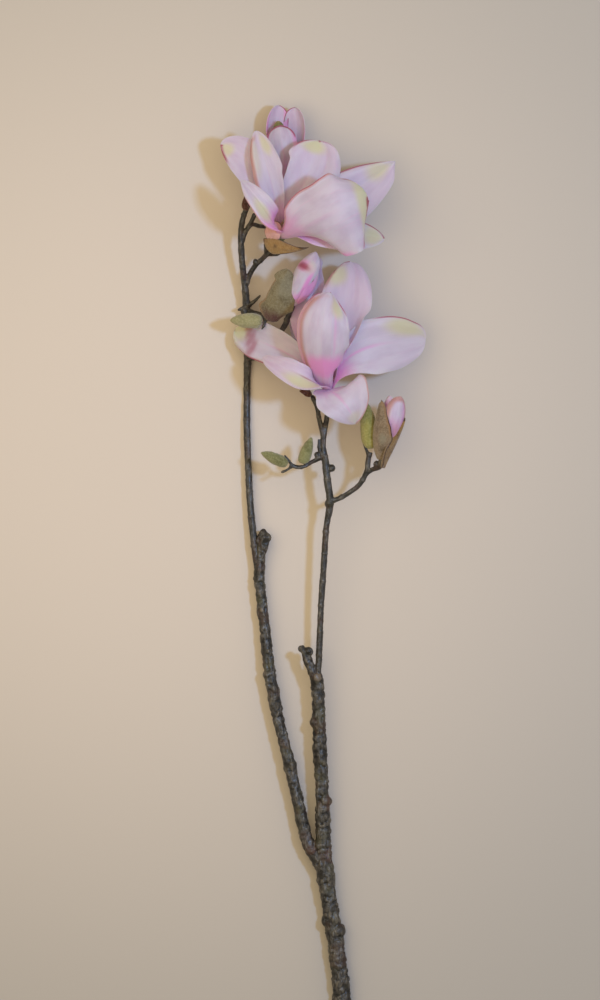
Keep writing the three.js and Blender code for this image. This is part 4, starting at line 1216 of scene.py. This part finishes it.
# Half-open bud at the top: three lobes round a green core.
lobe = {"cup": (1, 0.7), "shape": {"claw": 0.2, "shoulder": 0.68, "point": 2.4}, "rib": 0.3}
upperBudTepals = {
    "Front": {
        "spine": [(0, 12, 15), (-3, 28, 18), (-6, 42, 10)], "facing": (0, 0, -1), "width": 27, **lobe,
        "pink": (0.2, 0.55, 0.5), "red": [(0, 0.75, 1.0, 1.6)], "lip": [(0, 0.7, 1.0, 1.0)], "haze": 0.5,
        "pinkSpots": [(-0.9, 0.6, 0.3, 0.4, 0.7), (0.9, 0.75, 0.25, 0.2, 0.6)], "wave": (0.3, 1, 0),
    },
    "BackLeft": {
        "spine": [(-8, 16, -4), (-13, 40, -6), (-5, 59, -3)], "facing": (0.5, 0, 0.8), "width": 23,
        **lobe, "pink": (0.3, 0.5, 0.5), "red": [(1, 0.75, 1.0, 0.7)], "haze": 0.8,
        "pinkSpots": [(0.85, 0.8, 0.3, 0.25, 0.8), (-0.9, 0.6, 0.3, 0.4, 0.7)], "wave": (0.4, 1, 1),
    },
    "BackRight": {
        "spine": [(8, 16, -5), (11, 38, -7), (7, 57.5, -2)], "facing": (-0.5, 0, 0.8), "width": 23,
        **lobe, "pink": (0.3, 0.6, 0.7), "red": [(-1, 0.75, 1.0, 0.7)], "haze": 0.8,
        "pinkSpots": [(0.9, 0.5, 0.3, 0.3, 0.6)], "redSpots": [(0.9, 0.42, 0.5, 0.1, 0.5)],
        "wave": (0.4, 1, 2),
    },
}
upperBudCore = {"aim": (-0.14, 1, 0.06), "ring": 1.6}


def makeUpperBud(seat, node):
    aim = Vector(upperBudCore["aim"]).normalized()
    core = budCore(seat + "Core", "halfOpen", seatAt[seat], aim, 1, 1, fleshes["knobGreen"])
    handOver(core, node, "tepal")
    for number, (name, look) in enumerate(upperBudTepals.items()):
        blade = makeTepal(seat + name, seat, upperBudCore["ring"], look, firstSeed[seat] + number)
        handOver(blade, node, "tepal")


makeUpperBud("upperBud", "upper_bud_tepals")
print("buds are furled")

# Hairs of felted pieces.
hairLook = {
    "lengths": (0.5, 1.1), "girth": 0.09, "root": 0.2,  # millimetres
    "lean": 0.9, "lift": 0.7, "stray": 0.5,  # shares of the tip's way, the skin's way out and chance
    "corners": (0, 2.09, 4.19),  # radians round it
}


def growHairs(skin, count, along, seed):
    # Short three-sided hairs lying over the skin, all leaning towards its tip.
    dice = random.Random(seed)
    mesh = skin.data
    corners, faces = [], []
    for face in dice.choices(list(mesh.polygons), weights=[face.area for face in mesh.polygons], k=count):
        a, b, c = [mesh.vertices[i].co for i in face.vertices[:3]]
        shares = [dice.random() + 0.01 for corner in (a, b, c)]
        root = (a * shares[0] + b * shares[1] + c * shares[2]) / sum(shares)
        stray = Vector([dice.uniform(-1, 1) for axis in range(3)]) * hairLook["stray"]
        way = (face.normal * hairLook["lift"] + along * hairLook["lean"] + stray).normalized()
        side = way.orthogonal().normalized() * hairLook["girth"] * mm
        first = len(corners)
        for turn in hairLook["corners"]:
            corners.append(root - face.normal * hairLook["root"] * mm + Quaternion(way, turn) @ side)
        corners.append(root + way * dice.uniform(*hairLook["lengths"]) * mm)
        for hairFace in ((0, 1, 3), (1, 2, 3), (2, 0, 3), (0, 2, 1)):
            faces.append([first + corner for corner in hairFace])
    hairs = bpy.data.meshes.new(skin.name + "Hairs")
    hairs.from_pydata(corners, [], faces)
    clearBlush(hairs)
    hairPiece = bpy.data.objects.new(skin.name + "Hairs", hairs)
    bpy.context.collection.objects.link(hairPiece)
    for polygon in hairs.polygons:
        polygon.use_smooth = True
    return dress(hairPiece, felts["hairFelt"])


def handOverHairy(body, count, along, seed, node, slot):
    handOver(joinPieces([body, growHairs(body, count, along, seed)], body.name), node, slot)


def budAxis(bud):
    at, tip = Vector(bud["from"]), Vector(bud["to"])
    return at, (tip - at).normalized(), (tip - at).length


# Green felted buds: a core with one scale wrapped over it.
feltedBuds = {
    "fuzzyBudRight": {
        "node": "fuzzy_bud_right", "from": (56.3, 40.6, 41), "to": (52.6, 78, 44), "girth": 7.3,
        "felt": "limeFelt", "hairs": 900,
    },
    "fuzzyBudTwigLow": {
        "node": "fuzzy_bud_twig_low", "from": (-9.8, 28.6, 38), "to": (-31.2, 37.8, 40), "girth": 5,
        "felt": "greenFelt", "hairs": 650,
    },
    "fuzzyBudTwigHigh": {
        "node": "fuzzy_bud_twig_high", "from": (1.6, 29, 37.6), "to": (9.2, 49.6, 42), "girth": 5.2,
        "felt": "greenFelt", "hairs": 650,
    },
    "fuzzyBudLeft": {
        "node": "fuzzy_bud_left", "from": (-29.8, 142.6, 34.6), "to": (-55.6, 143.2, 36), "girth": 6.6,
        "felt": "paleFelt", "hairs": 700,
    },
}
feltedScale = {
    "turn": 1.5, "length": 0.98, "girth": 0.86, "wrap": 1.85, "close": 0.12, "thickness": 0.8,
    "shape": {"claw": 0.4, "shoulder": 0.45, "point": 1.6}, "wave": (0.25, 1.3, 0), "columns": 20, "rows": 26,
}


def makeFeltedBud(name, bud, seed):
    at, aim, length = budAxis(bud)
    felt = felts[bud["felt"]]
    core = budCore(name, "felted", at, aim, bud["girth"], length, felt)
    look = {**feltedScale, "length": length * feltedScale["length"]}
    look["girth"] = bud["girth"] * feltedScale["girth"]
    scale = makeWrap(name + "Scale", at, aim, look, (felt, felt), seed)
    handOverHairy(joinPieces([core, scale], name), bud["hairs"], aim, seed, bud["node"], "green_felt")


for number, (name, bud) in enumerate(feltedBuds.items()):
    makeFeltedBud(name, bud, firstSeed["feltedBuds"] + number)

# Scales: opened ones with handles of their own, and two wrapped round the right bud.
scales = {
    "upperBloomScaleOuter": {
        "node": "upper_bloom_scale_outer", "felt": "ochreFelt", "slot": "ochre_felt", "hairs": 260,
        "spine": [(-28.2, 204.4, 41.8), (-27, 203, 50), (-8, 196, 55), (6.6, 200.8, 50)],
        "facing": (0, 0.3, -1), "width": 16.5, "cup": (0.9, 0.8), "wave": (0.8, 1.6, 0.4),
        "shape": {"claw": 0.5, "shoulder": 0.36, "point": 0.95}, "pink": (0.0, 0.1, 0.7),
        "red": [(0, 0, 1, 0.9)], "redSpots": [(0.1, 0.4, 0.3, 0.05, 0.6), (0, 1, 1, 0.16, 0.9)],
    },
    "upperBloomScaleInner": {
        "node": "upper_bloom_scale_inner", "felt": "roseFelt", "slot": "brown_felt", "hairs": 60,
        "spine": [(-21.2, 206, 40), (-25, 208.5, 50), (-22, 214, 57), (-15.6, 219.6, 57)],
        "facing": (0.2, 0, -1), "width": 15, "cup": (0.3, 0.3), "wave": (0.4, 1.2, 0),
        "shape": {"claw": 0.3, "shoulder": 0.5, "point": 2.4}, "red": [(0, 0, 1, 0.8)],
    },
    "middleBudScale": {
        "node": "middle_bud_scale", "felt": "brownFelt", "slot": "brown_felt", "hairs": 700,
        "spine": [(-21, 141.6, 40), (-23, 150, 47), (-17, 167, 55), (-9.6, 183.4, 53)],
        "facing": (0.3, 0, -1), "width": 31, "cup": (0.8, 0.6), "wave": (0.6, 1.4, 1),
        "spread": [(1, 0.34, 0.82, -3.6), (1, 0.02, 0.3, 1.5), (-1, -0.1, 0.3, -3)],
        "shape": {"claw": 0.45, "shoulder": 0.32, "point": 2}, "pink": (0.12, 0.34, 0.95),
        "tan": [(1, 0.1, 0.8, 3)], "stain": [(-0.3, 0.75, 0.7, 0.25, 0.45)],
        "redSpots": [(0, 0, 1.5, 0.06, 0.5)],
    },
    "rightBudScaleLeft": {
        "node": "right_bud_scale_left", "felt": "tawnyFelt", "slot": "brown_felt", "hairs": 450,
        "turn": 0.75, "length": 46, "girth": 8.4, "wrap": 1.25, "gap": 2.0, "close": 1.4, "belly": 1.3,
        "root": 0.05, "shape": {"claw": 0.4, "shoulder": 0.4, "point": 1.5}, "wave": (0.9, 1.5, 0.6),
        "spread": [(-1, 0.35, 0.64, 2.6), (-1, 0.72, 1.0, -2.6), (1, 0.5, 0.95, 1.5)],
        "lip": [(-1, 0.1, 0.95, 0.8)], "red": [(-1, 0.1, 1, 0.9)], "tan": [(-1, 0.45, 1, 2.6)],
        "stain": [(-0.4, 0.4, 0.3, 0.12, 0.6)], "redSpots": [(0.2, 0.65, 0.7, 0.3, 0.18)],
    },
    "rightBudScaleRight": {
        "node": "right_bud_scale_right", "felt": "ochreFelt", "slot": "ochre_felt", "hairs": 320,
        "turn": 2.75, "length": 36, "girth": 7.8, "wrap": 0.95, "gap": 2.6, "close": 1.1, "root": 0.22,
        "shape": {"claw": 0.4, "shoulder": 0.5, "point": 1.2}, "wave": (0.7, 1.3, 1.4),
        "spread": [(1, 0, 0.42, 5.5), (1, 0.55, 0.95, -4.5)], "roll": [(1, 0, 0.5, 4.5)],
        "red": [(1, 0, 1, 1.2)], "pink": (0, 0.12, 0.5), "belly": 0.3,
    },
}
scaleSkin = {"columns": 26, "rows": 34, "thickness": 1.1}


def makeScale(name, look, seed):
    look = {**scaleSkin, **look}
    materials = (felts["scaleLining"], felts[look["felt"]])
    if "turn" in look:
        along = seatAim["rightBud"]
        scale = makeWrap(name, seatAt["rightBud"], along, look, materials, seed)
    else:
        handles = [Vector(point) for point in look["spine"]]
        along = (handles[3] - handles[0]).normalized()
        scale = makeBlade(name, handles, Vector(look["facing"]), look, materials, seed)
    handOverHairy(scale, look["hairs"], along, seed, look["node"], look["slot"])


for number, (name, look) in enumerate(scales.items()):
    makeScale(name, look, firstSeed["scales"] + number)

# Leaf buds: a small spindle with two scales pressed to it.
leafBuds = {
    "leafBudTop": {
        "node": "leaf_bud_top", "from": (-42.9, 230.2, 30.7), "to": (-43.4, 244, 34.5), "girth": 3,
        "close": 0.3, "felt": "rustFelt", "slot": "bud_red",
    },
    "leafBudRed": {
        "node": "leaf_bud_red", "from": (9.2, 82.9, 37.2), "to": (-1.6, 90.4, 40), "girth": 2.6,
        "close": 0.9, "felt": "rustFelt", "slot": "bud_red",
    },
}
leafScale = {
    "turns": (0.6, 3.6), "length": 0.8, "wrap": 0.8, "shape": {"claw": 0.5, "shoulder": 0.35, "point": 1.3},
    "columns": 12, "rows": 14, "hairs": 160,
}


def makeLeafBud(name, bud, seed):
    at, aim, length = budAxis(bud)
    felt = felts[bud["felt"]]
    pieces = [budCore(name, "leaf", at, aim, bud["girth"], length, felt)]
    look = {**leafScale, "girth": bud["girth"], "close": bud["close"]}
    look["length"] = length * leafScale["length"]
    for number, turn in enumerate(leafScale["turns"]):
        scale = makeWrap(name + str(number), at, aim, {**look, "turn": turn}, (felt, felt), seed + number)
        pieces.append(scale)
    handOverHairy(joinPieces(pieces, name), leafScale["hairs"], aim, seed, bud["node"], bud["slot"])


for number, (name, bud) in enumerate(leafBuds.items()):
    makeLeafBud(name, bud, firstSeed["leafBuds"] + 2 * number)
print("felted buds and scales are on")

# Heart of a bloom: rings of stamens on a disc, and carpels up a cone. Sizes are millimetres.
stamenLook = {
    "count": 42, "rings": 3, "sides": 8, "radius": 0.5, "length": 6, "cuts": (1.2, 3, 4.8), "swing": 0.06,
    "widths": {0: 0.5, 1: 0.7, 3: 1.15, 4: 1.0, 6: 0.15},  # at these heights
    "flat": 0.6, "sac": 1.35, "bow": -0.035, "sizes": (0.85, 1.05), "leanSwing": 0.08,
    "disc": [(3.2, 0), (3.7, 1), (3.3, 2.2), (2.6, 3)], "discHeight": 3,
}
carpelLook = {
    "count": 44, "goldenTurn": 2.4, "sides": 7, "radius": 0.75, "length": 3.4, "cuts": (0.7, 1.5, 2.4),
    "narrows": (0.3, 2.2), "neck": 0.32, "hook": 0.16, "droop": 0.05, "sizes": (0.9, 1.1),
    "cone": [(1.7, 0), (2, 2), (1.9, 5), (1.3, 9), (0.4, 11)],
}


def primitiveColumn(look):
    # An upright column standing on the origin, cut across at its heights.
    middle = (0, 0, look["length"] / 2)
    bpy.ops.mesh.primitive_cylinder_add(
        vertices=look["sides"], radius=look["radius"], depth=look["length"], location=middle,
    )
    column = bpy.context.object
    bpy.ops.object.transform_apply(location=True, rotation=True, scale=True)
    bpy.ops.object.mode_set(mode="EDIT")
    for level in look["cuts"]:
        bpy.ops.mesh.select_all(action="SELECT")
        bpy.ops.mesh.bisect(plane_co=(0, 0, level), plane_no=(0, 0, 1))
    bpy.ops.object.mode_set(mode="OBJECT")
    return column


def makeStamen():
    # A flat strap with a swollen pollen sac down each side and a pointed tip that leans inwards.
    stamen = primitiveColumn(stamenLook)
    widths = stamenLook["widths"]
    for vertex in stamen.data.vertices:
        wide = widths[min(widths, key=lambda level: abs(level - vertex.co.z))]
        vertex.co.x *= wide * stamenLook["flat"]
        vertex.co.y *= wide * (stamenLook["sac"] if abs(vertex.co.x) > 0.1 else 1.0)
        vertex.co.x += stamenLook["bow"] * vertex.co.z**2
    return stamen


def makeCarpel():
    # A swollen foot and a style that hooks outwards.
    carpel = primitiveColumn(carpelLook)
    for vertex in carpel.data.vertices:
        wide = mix(1, carpelLook["neck"], smooth(*carpelLook["narrows"], vertex.co.z))
        vertex.co.x *= wide
        vertex.co.y *= wide
        vertex.co.x += carpelLook["hook"] * vertex.co.z**2
        vertex.co.z -= carpelLook["droop"] * vertex.co.z**2
    return carpel


def stamenSpots(dice):
    # Spots are (height, reach, turn, lean, size).
    spots = []
    for number in range(stamenLook["count"]):
        ring = number % stamenLook["rings"]
        swing, leanSwing = stamenLook["swing"], stamenLook["leanSwing"]
        turn = number * 2 * math.pi / stamenLook["count"] + dice.uniform(-swing, swing)
        lean = 0.62 - 0.2 * ring + dice.uniform(-leanSwing, leanSwing)
        size = dice.uniform(*stamenLook["sizes"])
        spots.append((0.9 + 0.8 * ring, 2.9 - 0.35 * ring, turn, lean, size))
    return spots


def carpelSpots(dice):
    spots = []
    for number in range(carpelLook["count"]):
        share = number / carpelLook["count"]
        reach, lean = mix(1.5, 0.3, share**1.3), mix(0.9, 0.25, share)
        size = mix(1, 0.7, share) * dice.uniform(*carpelLook["sizes"])
        spots.append((0.8 + 9.4 * share, reach, number * carpelLook["goldenTurn"], lean, size))
    return spots


def scatter(model, spots, seat, height):
    # Copies of the model at the spots round the seat's axis, each with its own mesh.
    foot = seatAt[seat] + seatAim[seat] * height
    upright = seatAim[seat].to_track_quat("Z", "Y").to_matrix().to_4x4()
    base = Matrix.Translation(place(*foot)) @ upright
    copies = []
    for high, reach, turn, lean, size in spots:
        copy = model.copy()
        copy.data = model.data.copy()
        bpy.context.collection.objects.link(copy)
        spot = Matrix.Rotation(turn, 4, "Z") @ Matrix.Translation((reach, 0, high))
        local = spot @ Matrix.Rotation(lean, 4, "Y") @ Matrix.Scale(size, 4)
        copy.data.transform(base @ Matrix.Scale(mm, 4) @ local)
        copies.append(copy)
    bpy.data.objects.remove(model)
    return copies


def plant(name, seat, height, profile, sides, copies, material):
    # Joins the copies to a turned core that stands on the seat's axis.
    at = seatAt[seat] + seatAim[seat] * height
    core = makeSpindle(name, at, seatAim[seat], profile, sides, 0.1, material)
    return finishShape(joinPieces([core] + [dress(copy, material) for copy in copies], name))


def makeHeart(seat, nodes, seed):
    dice = random.Random(seed)
    low = receptacle["half"] + seatGap
    high = receptacle["half"] + stamenLook["discHeight"] + 2 * seatGap
    straps = scatter(makeStamen(), stamenSpots(dice), seat, low)
    stamens = plant(seat + "Stamens", seat, low, stamenLook["disc"], 16, straps, fleshes["stamenRose"])
    handOver(stamens, nodes + "_stamens", "stamen")
    styles = scatter(makeCarpel(), carpelSpots(dice), seat, high)
    carpels = plant(seat + "Carpels", seat, high, carpelLook["cone"], 12, styles, fleshes["carpelGreen"])
    handOver(carpels, nodes + "_carpels", "carpel")


makeHeart("lowerBloom", "lower_bloom", firstSeed["hearts"])
makeHeart("upperBloom", "upper_bloom", firstSeed["hearts"] + 1)
print("stamens and carpels are set")
